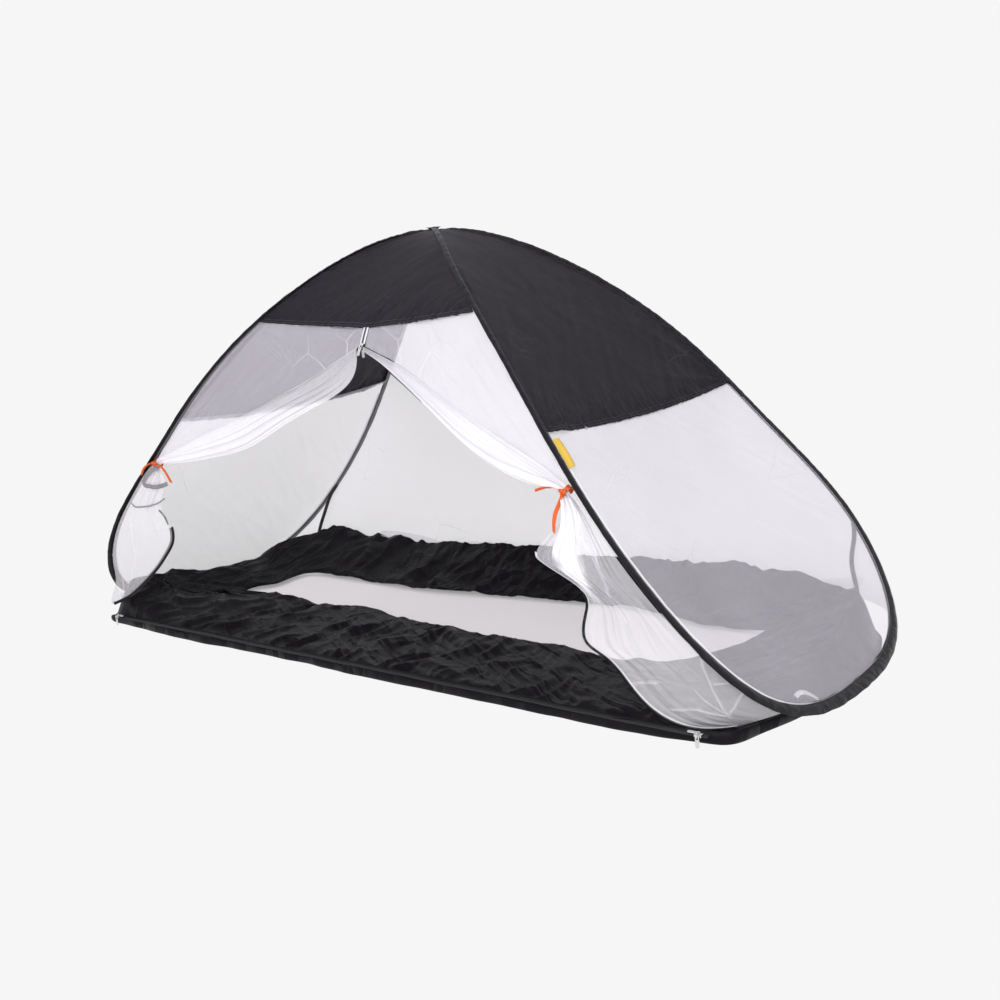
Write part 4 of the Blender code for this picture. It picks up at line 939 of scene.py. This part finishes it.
# A tuck's half width as a share of the cloth, its height, and how many knots below the tie it lasts
TUCK_LIMITS = ((0.008, 0.014), (0.004, 0.007), (1.6, 6.0))
DOOR_HEM_SHARES, DOOR_SLEEVE_HEIGHTS = (0.019, 0.985), (0.772, 0.478)
tail_edges = {}


def near_line(places, line, width):
    """How close points are to a broken line: 1 on it, falling to 0 beyond this width."""
    line = np.asarray(line, float)
    nearest = np.full(places.shape[:-1], 9.0)
    for start, end in zip(line[:-1], line[1:]):
        way = end - start
        along = np.clip(np.sum((places - start) * way, axis=-1) / np.dot(way, way), 0.0, 1.0)
        nearest = np.minimum(nearest, np.linalg.norm(places - start - along[..., None] * way, axis=-1))
    return bell(nearest, width)


def at_rows(values, rows_at):
    """Values given at the cloth's knots, read from a smooth curve at each row."""
    knots = np.asarray(values, float).reshape(len(values), -1)
    return columns_at(rows_at, np.linspace(0, len(knots) - 1, 4001), through(knots, 4001))


for side, hoop_word in SIDES:
    # Flat part: from the hem and the sleeve down to the fold
    fold = through([pair[0] for pair in SWAG[hoop_word][:9]], 150)
    hem_share = np.linspace(*DOOR_HEM_SHARES, 75)
    hem_station = wall_hem(hem_share)
    top = np.stack([wall_reach(hem_station) * hem_share, arm_at(hem_station)[:, 2] + 0.010], axis=1)
    sleeve_z = np.linspace(*DOOR_SLEEVE_HEIGHTS, 76)[1:]
    top = np.concatenate([top, np.stack([wall_reach(station_at(sleeve_z)), sleeve_z], axis=1)])
    step = length_along(top)
    top = columns_at(np.linspace(0, step[-1], len(fold)), step, top)
    down = np.linspace(0.0, 1.0, 90)[:, None, None]
    lie = top[None] + (fold - top)[None] * down
    tuck = HEM_TUCK * bell(np.linalg.norm(lie - lie[:1], axis=2), TUCK_REACH)
    flat = on_front(side * lie[..., 0], lie[..., 1], 0.0015) + BACKWARD * tuck[..., None]
    x, z = side * flat[..., 0], flat[..., 2]
    waves = 0.0050 * bumps(flat, 0.13, 51 + side)
    waves += 0.0040 * streaks(x - z, x + 1.1 * z, 0.35, 0.028, 53 + side)
    across = np.linspace(0.0, 1.0, len(fold))[None, :]
    waves = waves * np.minimum(1.0, down[..., 0] / 0.08)
    waves = waves * np.minimum(1.0, across / 0.08) * np.minimum(1.0, (1.0 - across) / 0.05)
    flat = flat - BACKWARD * waves[..., None]
    door = sheet_mesh(f"net_door_{hoop_word}", flat, packed_net)
    follow_both_hoops(door)
    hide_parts(f"door_mesh_{hoop_word}")

    # Gathered part and tail: one cloth that runs through the tie
    sleeve_side = [(float(wall_reach(station_at(z))), z) for z, _ in TAIL[hoop_word]]
    fold_edge = np.array([pair[0] for pair in SWAG[hoop_word]] + sleeve_side)
    free_edge = np.array([pair[1] for pair in SWAG[hoop_word]] + [point for _, point in TAIL[hoop_word]])
    tie_row = len(SWAG[hoop_word]) - 2
    tail_at = np.linspace(tie_row, len(fold_edge) - 1, TAIL_ROWS + 1)[1:]
    rows_at = np.concatenate([np.linspace(0, tie_row, SWAG_ROWS), tail_at])
    fold_edge, free_edge = at_rows(fold_edge, rows_at), at_rows(free_edge, rows_at)
    if side > 0:
        free_edge[:, 0] -= 0.012 * np.exp(-np.abs(rows_at - tie_row - 4.0) / 0.5)
    gather_here = at_rows(GATHER[hoop_word], rows_at)
    overlap, deep, belly = [at_rows(values, rows_at) for values in (OVERLAP, FOLD_DEPTH, BELLY)]
    dice = np.random.default_rng(17 if side > 0 else 23)
    spots = np.linspace(0.10, 0.93, 11) if side > 0 else np.linspace(0.15, 0.90, 6)
    tucks = [(spot + dice.uniform(-0.025, 0.025), *[dice.uniform(*k) for k in TUCK_LIMITS]) for spot in spots]
    # Columns lie closer together along the tucks
    beside = np.linspace(-2.2, 2.2, 13)
    v = np.concatenate([np.linspace(0.0, 1.0, 130)] + [spot + width * beside for spot, width, _, _ in tucks])
    v = np.unique(np.clip(v, 0.0, 1.0))[None, :]
    columns, rows = v.shape[1], len(rows_at)
    past_tie = (rows_at - tie_row)[:, None]
    along, aside = rows_at[:, None] / 7.0 + 0 * v, v * 8.5 + 0 * past_tie
    drift = np.stack([along, aside, np.full((rows, columns), 3.0 * side)], axis=-1)
    wave = 2.1 * bumps(drift, 1.0, 61 + side) + 0.7 * bumps(drift * (1.5, 2.3, 1.0), 1.0, 63 + side)
    if side < 0:
        wave = 0.55 * wave
    in_tail = np.clip(past_tie / 2.5, 0.0, 1.0)
    held = np.minimum(1.0, np.minimum(v, 1.0 - v) / 0.07)
    held = held * in_tail + (1.0 - in_tail) * np.minimum(1.0, 0.35 + np.minimum(v, 1.0 - v) / 0.05)
    across = v + overlap * wave * held
    lift = deep * wave * held * (1.0 if side > 0 else 0.7) + belly * 4.0 * v * (1.0 - v)
    pinch = np.zeros((rows, columns))
    for spot, width, height, lasts in tucks:
        near = (v - spot) / width
        shape = 2.33 * near * np.exp(-(near**2))
        runs = np.clip(past_tie / 0.6 + 1.0, 0.0, 1.0) * np.exp(-np.maximum(past_tie / lasts, 0.0) ** 3)
        wander = 1.0 + 0.5 * np.sin(past_tie * 1.3 + spot * 30.0)
        across = across - 0.95 * width * shape * runs * wander
        lift = lift + height * shape * runs * np.minimum(1.0, 0.3 + np.maximum(past_tie, 0.0))
        pinch = np.maximum(pinch, bell(near, 0.8) * runs * (0.24 if side > 0 else 0.10))
    lie = fold_edge[:, None] + (free_edge - fold_edge)[:, None] * across[..., None]
    for line in CREASES[hoop_word]:
        near = near_line(lie, line, 0.0022) * in_tail
        pinch = np.maximum(pinch, 0.30 * near)
        lift = lift + 0.0022 * near
    base = on_front(side * lie[..., 0], lie[..., 1], -0.0035)
    cloth = base - np.array((0.0, 1.0, -0.25)) * lift[..., None]
    if side < 0:
        # The lower corner is pulled out to the end of the base zip
        pulled = np.exp(-(((lie[..., 0] - 0.900) / 0.05) ** 2) - ((lie[..., 1] - 0.045) / 0.05) ** 2)
        cloth[..., 1] -= 0.055 * pulled
    streaky = 0.45 if side > 0 else 0.32
    feather = 1.0 + streaky * bumps(drift * (1.2, 4.5, 1.0), 1.0, 67 + side)
    feather += 0.5 * streaky * bumps(drift * (2.0, 11.0, 1.0), 1.0, 69)
    if side > 0:
        # Below the tie one bundle of folds hangs almost straight down and the rest spreads out thin
        below = (1.0, 2.0, 3.0, 4.0, 5.0)
        bundle = np.interp(past_tie, below, (0.60, 0.66, 0.66, 0.57, 0.86))
        half = np.interp(past_tie, (*below, 5.5), (0.50, 0.30, 0.17, 0.11, 0.09, 0.03))
        bundle = np.clip((half + 0.04 - np.abs(v - bundle)) / 0.07, 0.0, 1.0)
        bundle = bundle * np.clip((5.6 - past_tie) / 0.8, 0.0, 1.0)
        gather_here = gather_here * (1.0 + (bundle - 1.0) * in_tail)
    else:
        # On this side the cloth under the fold is a single layer, and it doubles further down
        single = 0.55 * np.clip((0.30 - v) / 0.16, 0.0, 1.0)
        gather_here = gather_here * (1.0 - single * np.clip(-past_tie / 2.0, 0.0, 1.0))
    gather = np.maximum(gather_here * feather, pinch)
    swag = sheet_mesh(f"net_swag_{hoop_word}", cloth, gathered_net, gather=gather)
    follow_both_hoops(swag)
    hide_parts(f"flap_swag_{hoop_word}", f"flap_tail_{hoop_word}")
    start = SWAG_ROWS + (52 if side > 0 else 84)
    tail_edges[hoop_word] = (cloth[start:, -1], cloth[start:, -8])
    if side > 0:
        shown = (rows_at > 1.7) & (rows_at < 3.1)
        sliver_run = through(cloth[shown, -1][::6] + (0.0, 0.001, -0.002), 60)
    else:
        left_cloth = cloth.reshape(-1, 3)

# Zips: white woven tapes with a black nylon coil sewn on one edge, on the free edge of each tail.
# The closed stretch under the roof has both tapes, and the base zip has black tape on the floor band's rim.
def tape_along(name, run, width_way, width, thickness, material, cup=0.0):
    """A flat tape along a line, its width in the given direction or directions."""
    run = np.asarray(run, float)
    forward = unit(np.gradient(run, axis=0))
    wide = np.broadcast_to(np.asarray(width_way, float), run.shape)
    wide = unit(wide - np.sum(wide * forward, axis=1)[:, None] * forward)
    flat_way = np.cross(forward, wide)
    steps = np.linspace(-0.5, 0.5, 5)[None, :, None]
    strip = run[:, None] + wide[:, None] * steps * width + flat_way[:, None] * (0.25 - steps**2) * cup
    return sheet_mesh(name, strip, material, thickness)


def coil_shape(tree):
    """One turn of a nylon coil, leaning a little along the zip."""
    turn = add_node(tree, "GeometryNodeCurvePrimitiveCircle", {"Resolution": 9, "Radius": 1.0})
    leaning = {"Geometry": turn, "Rotation": (0.35, 0.0, 0.0), "Scale": (0.0023, 0.0016, 0.0016)}
    return bent_thread(tree, add_node(tree, "GeometryNodeTransform", leaning), 4, 0.00048)


TAPE_WEAVE = (0.0008, 0.00012)
white_tape = woven("white polyester zip tape", "#f3f2f4", "#dedde2", *TAPE_WEAVE, 0.7)
black_tape = woven("black polyester zip tape", "#232225", "#17161a", *TAPE_WEAVE, 0.6)
black_nylon = plain("black nylon coil", "#161518", "#0e0d10", 0.40, 0.002, 0.00004, specular=0.25)
# The white zip tape again, painted grey: painted shade for where it lies in the fold's shade or behind the
# net
shaded_white_tape = woven("white zip tape painted grey for its shade", "#9a949b", "#7d777e", *TAPE_WEAVE, 0.7)
COIL_PITCH = 0.0022
TAPE_WIDTH = 0.010
TAPE_THICK, TAPE_CUP = 0.0009, 0.0012
for side, hoop_word in SIDES:
    edge, inner = tail_edges[hoop_word]
    away = unit(through(unit(edge - inner)[::12], len(edge)))
    # The left flap's tape is the white tape painted grey for its shade
    flap_tape = white_tape if side > 0 else shaded_white_tape
    run = edge + away * (TAPE_WIDTH / 2 - 0.003)
    tape = tape_along(f"zip_tape_{hoop_word}", run, away, TAPE_WIDTH, TAPE_THICK, flap_tape, TAPE_CUP)
    follow_both_hoops(tape)
    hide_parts(f"zip_flap_{hoop_word}")
    coil_run = (edge + away * (TAPE_WIDTH - 0.0030) - (0.0, 0.0010, 0.0))[18 if side > 0 else 0 :]
    coil = repeated(f"zip_coil_{hoop_word}", coil_run, COIL_PITCH, coil_shape, black_nylon, 1.75)
    follow_both_hoops(coil)


def on_left_cloth(line, gap):
    """Points this far in front of the left door half, at these places on the front wall."""
    run = on_front(line[:, 0], line[:, 1], 0.0)
    near = np.linalg.norm(left_cloth[None, :, ::2] - run[:, None, ::2], axis=2)
    run[:, 1] = [np.min(left_cloth[row <= row.min() + 0.006, 1]) for row in near]
    run[1:-1, 1] = (run[:-2, 1] + run[1:-1, 1] + run[2:, 1]) / 3.0
    return run - (0.0, gap, 0.0)


LEFT_SLIVER = ((-0.605, 0.338), (-0.597, 0.329), (-0.588, 0.317), (-0.584, 0.303))
for name, line in (("right", sliver_run), ("left", on_left_cloth(through(LEFT_SLIVER, 40), 0.001))):
    coil = repeated(f"zip_coil_sliver_{name}", line, COIL_PITCH, coil_shape, black_nylon, 1.0)
    follow_both_hoops(coil)
# On the left the free edge is folded up over the net just below the tie, and its tape, painted grey for its
# shade, shows as a grey V
FOLDED_TAPE = {
    "upper": (
        0.0105,
        (
            (-0.594, 0.450), (-0.620, 0.430), (-0.635, 0.412), (-0.632, 0.403), (-0.622, 0.400),
            (-0.599, 0.398), (-0.566, 0.406),
        ),
    ),
    "lower": (0.0034, ((-0.683, 0.355), (-0.672, 0.348), (-0.649, 0.347), (-0.613, 0.353), (-0.579, 0.369))),
}
for name, (width, line) in FOLDED_TAPE.items():
    run = on_left_cloth(through(line, 80), 0.0015)
    wide = np.cross(np.gradient(run, axis=0), (0.0, 1.0, 0.0))
    tape = tape_along(f"zip_tape_left_{name}", run, wide, width, TAPE_THICK, shaded_white_tape, TAPE_CUP)
    follow_both_hoops(tape)

CLOSED_TOP, CLOSED_FOOT, CLOSED_PITCH = 0.7565, 0.7220, 0.0007
closed_z = np.linspace(CLOSED_TOP, CLOSED_FOOT, 24)
closed = on_front(0.0 * closed_z, closed_z, 0.0005)
tape = tape_along("zip_tape_top", closed, (1, 0, 0), 0.015, TAPE_THICK, white_tape)
follow_both_hoops(tape)
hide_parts("zip_top")
for hoop_word, offset in (("right", 0.00115), ("left", -0.00115)):
    line = closed + (offset, -0.0005, 0)
    coil = repeated(f"zip_coil_top_{hoop_word}", line, CLOSED_PITCH, coil_shape, black_nylon, 0.55)
    follow_both_hoops(coil)

BASE_ZIP_HALF, BASE_ZIP_DEPTH, BASE_ZIP_HEIGHT = 0.880, 0.4110, 0.0252
base_x = np.linspace(-BASE_ZIP_HALF, BASE_ZIP_HALF, 221)
base_run = np.stack([base_x, 0 * base_x - BASE_ZIP_DEPTH, 0 * base_x + BASE_ZIP_HEIGHT], axis=1)
base_run[:, 2] += 0.0016 * bumps(base_run, 0.09, 71)
tape = tape_along("zip_tape_base", base_run, (0, 1, 0.3), 0.012, TAPE_THICK, black_tape, 0.001)
follow_both_hoops(tape)
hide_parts("zip_base")
coil = repeated("zip_coil_base", base_run + (0, 0.0052, 0.0026), COIL_PITCH, coil_shape, black_nylon)
follow_both_hoops(coil)

# Floor band: one ring of the roof's black cloth that lies crumpled on the floor round an open middle.
# It bunches up into a low crest at the back and the ends, and is rolled over a cord as a rim in front.
BAND_COLUMNS, BAND_ROWS, BEHIND_ROWS, RIM_ROWS = 1000, 90, 14, 14
CORNER_X = 0.90
span_x = np.linspace(-CORNER_X, CORNER_X, 400)
corner_y = BAND_HALF_WIDTH * math.sqrt(1.0 - (CORNER_X / BAND_HALF_LENGTH) ** BAND_POWER)
span_y = np.linspace(-corner_y, corner_y, 300)[1:-1]
front_y = BAND_HALF_WIDTH * np.sqrt(1.0 - (np.abs(span_x) / BAND_HALF_LENGTH) ** BAND_POWER)
end_x = BAND_HALF_LENGTH * (1.0 - (span_y / BAND_HALF_WIDTH) ** 2) ** (1.0 / BAND_POWER)
outline = np.concatenate(
    [
        np.stack([span_x, -front_y], axis=1),
        np.stack([end_x, span_y], axis=1),
        np.stack([span_x[::-1], front_y], axis=1),
        np.stack([-end_x, span_y[::-1]], axis=1),
    ]
)
# The left front corner is pulled out square to the end of the zip, and the right one a little
corner = np.exp(-(((outline[:, 0] + 0.905) / 0.075) ** 2) - ((outline[:, 1] + 0.395) / 0.10) ** 2)
outline += corner[:, None] * np.array((-0.062, -0.036))
corner = np.exp(-(((outline[:, 0] - 0.900) / 0.05) ** 2) - ((outline[:, 1] + 0.355) / 0.06) ** 2)
outline += corner[:, None] * np.array((0.008, -0.026))
outline = np.concatenate([outline, outline[:1]])
run = length_along(outline)
even = np.linspace(0, run[-1], BAND_COLUMNS + 1)[:-1]
outer = columns_at(even, run, outline)
bearing = np.degrees(np.arctan2(outer[:, 1] / BAND_HALF_WIDTH, outer[:, 0] / BAND_HALF_LENGTH))
OPENING = (
    (-0.778, -0.020), (-0.749, -0.058), (-0.670, -0.044), (-0.574, -0.035), (-0.430, -0.044),
    (-0.332, -0.034), (-0.210, -0.047), (-0.099, -0.061), (0.030, -0.067), (0.160, -0.070),
    (0.331, -0.069), (0.450, -0.088), (0.540, -0.070), (0.618, -0.035), (0.668, 0.040),
    (0.690, 0.130), (0.703, 0.207), (0.680, 0.228), (0.610, 0.214), (0.541, 0.205),
    (0.349, 0.258), (0.178, 0.249), (-0.024, 0.220), (-0.256, 0.183), (-0.400, 0.181),
    (-0.539, 0.185), (-0.660, 0.188), (-0.736, 0.175), (-0.742, 0.110), (-0.738, 0.045),
    (-0.760, 0.010), (-0.778, -0.020),
)
inner = through(OPENING, 1200)
inner_bearing = np.unwrap(np.arctan2((inner[:, 1] - 0.075) / 0.15, (inner[:, 0] + 0.02) / 0.72))
order = np.argsort(inner_bearing)
inner = columns_at(np.radians(bearing), inner_bearing[order], inner[order], period=2 * math.pi)
# Bearing round the band in degrees, the height of its bunched crest, and how far that stands in from outside
CREST = (
    (-180, 0.048, 0.088), (-170, 0.051, 0.086), (-160, 0.056, 0.084), (-150, 0.073, 0.078),
    (-144, 0.090, 0.076), (-140, 0.094, 0.070), (-136, 0.088, 0.056), (-132, 0.060, 0.034),
    (-127, 0.020, 0.010), (-120, 0.006, 0.002), (-60, 0.006, 0.002), (-45, 0.012, 0.012),
    (-35, 0.016, 0.035), (-20, 0.022, 0.070), (0, 0.028, 0.092), (10, 0.036, 0.088),
    (20, 0.058, 0.080), (30, 0.086, 0.060), (35, 0.088, 0.048), (40, 0.086, 0.044),
    (45, 0.080, 0.044), (50, 0.082, 0.044), (60, 0.092, 0.044), (70, 0.078, 0.044),
    (80, 0.081, 0.044), (90, 0.090, 0.044), (100, 0.083, 0.044), (110, 0.071, 0.044),
    (120, 0.070, 0.044), (130, 0.090, 0.046), (140, 0.083, 0.052), (150, 0.067, 0.066),
    (160, 0.046, 0.080), (170, 0.049, 0.086), (180, 0.050, 0.088),
)
crest_at, crest_height, crest_inset = np.array(CREST).T
crest = np.interp(bearing, crest_at, crest_height)[None, :]
inset = np.interp(bearing, crest_at, crest_inset)[None, :]
RIM = (
    (-138, 0.004), (-132, 0.016), (-126, 0.0195), (-60, 0.0195), (-42, 0.026),
    (-30, 0.022), (-18, 0.012), (-5, 0.003),
)
rim = np.interp(bearing, *np.array(RIM).T)[None, :]
wobble = 0.009 * along_line(even, 0.22, 92) + 0.004 * along_line(even, 0.07, 93)
way_out = unit(outer - inner)
outer = outer + way_out * wobble[:, None]
reach = np.linalg.norm(outer - inner, axis=1)[None, :]
slope_rows = BAND_ROWS - BEHIND_ROWS - RIM_ROWS
row = np.arange(BAND_ROWS)[:, None]
before = np.clip(row / (slope_rows - 1), 0.0, 1.0)
behind = np.clip((row - slope_rows + 1) / BEHIND_ROWS, 0.0, 1.0)
up = np.clip((row - slope_rows - BEHIND_ROWS + 1) / RIM_ROWS, 0.0, 1.0)
t = before * (1.0 - inset / reach) + behind * inset / reach
flat = inner[None] + (outer - inner)[None] * t[..., None]
ground = np.concatenate([flat, np.zeros(flat.shape[:2] + (1,))], axis=2)
height = crest * (1.0 + 0.22 * along_line(even, 0.16, 83)[None, :]) * (0.30 * before + 0.70 * before**2)
height = height + (0.0015 - height) * behind**2 * (3.0 - 2.0 * behind)
warp = np.stack([bumps(ground, 0.10, 84), bumps(ground, 0.10, 85), 0 * t], axis=-1) * 0.05
wide = facets(ground + warp, np.array((0.14, 0.24, 0.1)), 86)
middling = facets(ground + warp, np.array((0.060, 0.150, 0.1)), 87)
fine = facets(ground + 0.5 * warp, np.array((0.026, 0.066, 0.1)), 88)
crumple = 0.0145 * wide**1.4 + 0.0100 * middling**1.3 + 0.0020 * fine
calm = 1.0 - 0.70 * bell(t, 0.05) - bell(t - 1.0, 0.07)
hem = 0.005 * np.exp(-t / 0.05) * (1.0 + 1.6 * bumps(ground, 0.14, 90))
QUIET = (
    (-180, 0.5), (-165, 0.5), (-150, 1.0), (-50, 1.0), (-40, 0.45),
    (25, 0.45), (45, 1.0), (150, 1.0), (165, 0.5), (180, 0.5),
)
quiet = np.interp(bearing, *np.array(QUIET).T)[None, :]
height = height + crumple * calm * (1.0 - (1.0 - quiet) * before) + hem
ROLL = math.radians(235.0)
rolled = ROLL * up
rim = rim * (1.0 + 0.30 * along_line(even, 0.11, 91)[None, :])
height = height + rim / 2 * (1.0 - np.cos(rolled))
flat = flat + way_out[None] * (0.22 * rim * np.sin(rolled))[..., None]
band_points = np.concatenate([flat, np.maximum(height, 0.0012)[..., None]], axis=2)
# The roof's taffeta, painted darker here: painted shade for the band lying crumpled on the floor
crumpled_taffeta = woven(
    "crumpled black taffeta", "#19161b", "#100e12", *TAFFETA_WEAVE, 0.34, specular=0.09,
    crease=0.0120, crease_size=0.085,
)
band = sheet_mesh("cloth_floor_band", band_points, crumpled_taffeta, 0.0, wrap=True)
follow_both_hoops(band)
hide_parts("skirt_front", "skirt_back", "skirt_right", "skirt_left", "base_rim")

# Stay straps: black woven webbing from each back arm down to the band, which hold the back corners out.
# Each is sewn to the sleeve above and ends flat on the floor band.
STAY_WIDTH, STAY_THICK, STAY_HEIGHT = 0.010, 0.0014, 0.232
webbing = woven("black polypropylene webbing", "#2b2a2d", "#1b1a1d", 0.0022, 0.0004, 0.7)
STAY_ROUTE = (
    (0.162, 0.036, 0.195), (0.158, 0.062, 0.150), (0.143, 0.076, 0.100), (0.138, 0.088, 0.050),
    (0.150, 0.106, 0.008),
)
for side, hoop_word in SIDES:
    route = [(side * (HALF_LENGTH - x), HALF_WIDTH - y, z) for x, y, z in STAY_ROUTE]
    hoop_point = arm_at(station_at(STAY_HEIGHT)) * (side, 1, 1)
    route.insert(0, tuple(hoop_point + (side * -0.002, -0.006, -0.003)))
    facing = (1.0, 0.75 if side > 0 else 1.0, 0.0)
    run = through(route, 70)
    stay = tape_along(f"webbing_stay_{hoop_word}", run, facing, STAY_WIDTH, STAY_THICK, webbing)
    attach(stay, f"{hoop_word}_hoop")
    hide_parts(f"stay_{hoop_word}")

# Tag: a blank yellow ribbon sewn flat into the front right sleeve's seam.
# It stands off the cloth a little and curls along its free edge.
TAG_TOP, TAG_FOOT, TAG_REACH = 0.541, 0.491, 0.020
yellow_satin = woven("yellow satin ribbon", "#f7d154", "#eabd3e", 0.0009, 0.0001, 0.5)
tag_z = np.linspace(TAG_TOP, TAG_FOOT, 30)
tag_station = station_at(tag_z)
tag_arm = arm_at(tag_station)
slope = arm_at(tag_station + 0.01) - arm_at(tag_station - 0.01)
slope = unit(slope[:, [0, 2]])
tag_out = np.stack([-slope[:, 1], 0 * tag_z, slope[:, 0]], axis=1)
deep = np.linspace(0.0, 1.0, 15)[None, :]
tag = np.stack([tag_arm[:, 0], -(tag_arm[:, 1] - sleeve_half(tag_station) + 0.003), tag_arm[:, 2]], axis=1)
tag = tag[:, None] + np.array((0.0, TAG_REACH, 0.0)) * deep[..., None]
curl = 0.0040 + 0.0012 * np.sin(math.pi * deep) + 0.0025 * deep * np.sin(np.linspace(0, 2.6, 30))[:, None]
tag = tag + tag_out[:, None] * curl[..., None]
tag_piece = sheet_mesh("ribbon_side_tag", tag, yellow_satin, 0.0008)
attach(tag_piece, "right_hoop")
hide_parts("side_tag")
for name, column in (("near", 2), ("far", 13)):
    line = tag[2:-2, column] + tag_out[2:-2] * 0.0005
    row = repeated(f"stitches_tag_{name}", line, 0.0030, stitch_shape, black_thread, 0.7)
    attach(row, "right_hoop")

# Inside tab: a white loop of ribbon low in the right end, beside the front arm.
# It is modelled as one flat strip, with both layers of the loop together.
TAB_ROUTE = (
    (0.045, -0.208, 0.044), (0.043, -0.192, 0.047), (0.040, -0.172, 0.040), (0.036, -0.152, 0.028),
    (0.031, -0.134, 0.014),
)
TAB_WIDTH, TAB_FACING = 0.010, (0.56, -0.22, -0.58)
white_ribbon = woven("white cotton ribbon", "#f4f3f3", "#e2e1e2", 0.0009, 0.0001, 0.75)
tab_run = through([(HALF_LENGTH - x, y, z) for x, y, z in TAB_ROUTE], 40)
tab = tape_along("ribbon_inner_tab", tab_run, TAB_FACING, TAB_WIDTH, 0.0009, white_ribbon)
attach(tab, "right_hoop")
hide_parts("inner_tab")

# Ties: orange ribbon round the gathered door, drawn tight and closed with a flat knot.
# It goes round the bundle twice, a little crossed, and the knot stands in front.
TIE_RADIUS, TIE_HALF_WIDTH, KNOT_WIDTH = 0.0098, 0.0034, 0.0050
KNOT_PLACE, KNOT_SIZE = np.array((0.0, -0.0155, 0.0)), (0.0021, 0.0018, 0.0021)
for side, hoop_word in SIDES:
    middle = middle_of(f"tie_{hoop_word}")
    axis = np.array((side * 0.76, 0.0, -0.65))
    up = np.array((side * 0.65, 0.0, 0.76))
    angle = np.linspace(0, 2 * math.pi, 73)[:, None]
    spoke = up * np.cos(angle) + np.array((0.0, -1.0, 0.0)) * np.sin(angle)
    ring = middle + spoke * (TIE_RADIUS + 0.0004 * np.sin(5 * angle))
    turns = []
    for shift, tilt in ((-0.0022, 0.10), (0.0024, -0.12)):
        wide = np.linspace(-TIE_HALF_WIDTH, TIE_HALF_WIDTH, 7)[None, :, None]
        over = (ring + spoke * (0.0007 if shift > 0 else 0.0))[:, None]
        strip = over + axis * (wide + shift + tilt * 0.012 * np.sin(angle)[:, None])
        strip = strip + spoke[:, None] * (0.0009 * np.sin(wide * 900.0) * np.sin(3 * angle)[:, None])
        turns.append(sheet_mesh(f"ribbon_turn_{hoop_word}_{len(turns)}", strip, ribbon_cloth, RIBBON_THICK))
    t = np.linspace(0, 2 * math.pi, 121)
    trefoil = np.stack([np.sin(t) + 2 * np.sin(2 * t), -np.sin(3 * t), np.cos(t) - 2 * np.cos(2 * t)], axis=1)
    trefoil = middle + KNOT_PLACE + trefoil * KNOT_SIZE
    facing = np.stack([np.sin(1.5 * t) * 0.6, np.full_like(t, -1.0), np.cos(1.5 * t) * 0.6], axis=1)
    across = np.cross(unit(np.gradient(trefoil, axis=0)), facing)
    thick = RIBBON_THICK * 1.6
    turns.append(tape_along(f"ribbon_knot_{hoop_word}", trefoil, across, KNOT_WIDTH, thick, ribbon_cloth))
    for turn in turns:
        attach(turn, f"{hoop_word}_hoop")
    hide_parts(f"tie_{hoop_word}")

# Inside tapes: grey binding that covers the seam between sleeve and mesh, seen from inside the tent.
# One runs round each hoop, close under its wire.
BINDING_WIDTH, BINDING_DEPTH = 0.010, 0.0042
grey_binding = woven("grey polyester binding", "#7b7a80", "#69686e", 0.0009, 0.0001, 0.7)
for side, hoop_word in SIDES:
    even = np.linspace(-1.0, 1.0, 601)
    stations = SPANS + even * (SPANS - 0.10)
    centre, inward, out = hoop_axes(side, stations)
    from_tip = np.minimum(stations, 2 * SPANS - stations)
    run = centre + inward * (sleeve_half(from_tip) * 0.55)[:, None] - out * BINDING_DEPTH
    run += out * (0.0006 * bumps(run, 0.02, 93))[:, None]
    binding = tape_along(f"binding_{hoop_word}", run, inward, BINDING_WIDTH, 0.0007, grey_binding)
    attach(binding, f"{hoop_word}_hoop")

# Ridge patch: a small square of black cloth sewn over the place where the two sleeves cross.
# It stands up along both sleeves and sinks a little between them.
PATCH_HALF, PATCH_LIFT, PATCH_SINK = 0.012, 0.0062, 0.0045
grid = np.linspace(-PATCH_HALF, PATCH_HALF, 31)
px, py = np.meshgrid(grid, grid, indexing="ij")
radius = np.hypot(px, py)
arm_way = unit(ARM[30, :2] - ARM[0, :2])
gap_a = np.abs(px * arm_way[1] - py * arm_way[0])
gap_b = np.abs(px * arm_way[1] + py * arm_way[0])
arm_radius = np.hypot(ARM[:, 0], ARM[:, 1])
patch_z = np.interp(radius, arm_radius[:200], ARM[:200, 2]) + PATCH_LIFT
patch_z = patch_z - PATCH_SINK * np.minimum(1.0, (np.minimum(gap_a, gap_b) / 0.007) ** 2)
patch_z += 0.0012 * bumps(np.stack([px, py, 0 * px], axis=-1), 0.010, 95)
patch = sheet_mesh("cloth_ridge_patch", np.stack([px, py, patch_z], axis=-1), black_taffeta, 0.0009)
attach(patch, "right_hoop")
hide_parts("apex_crossing")
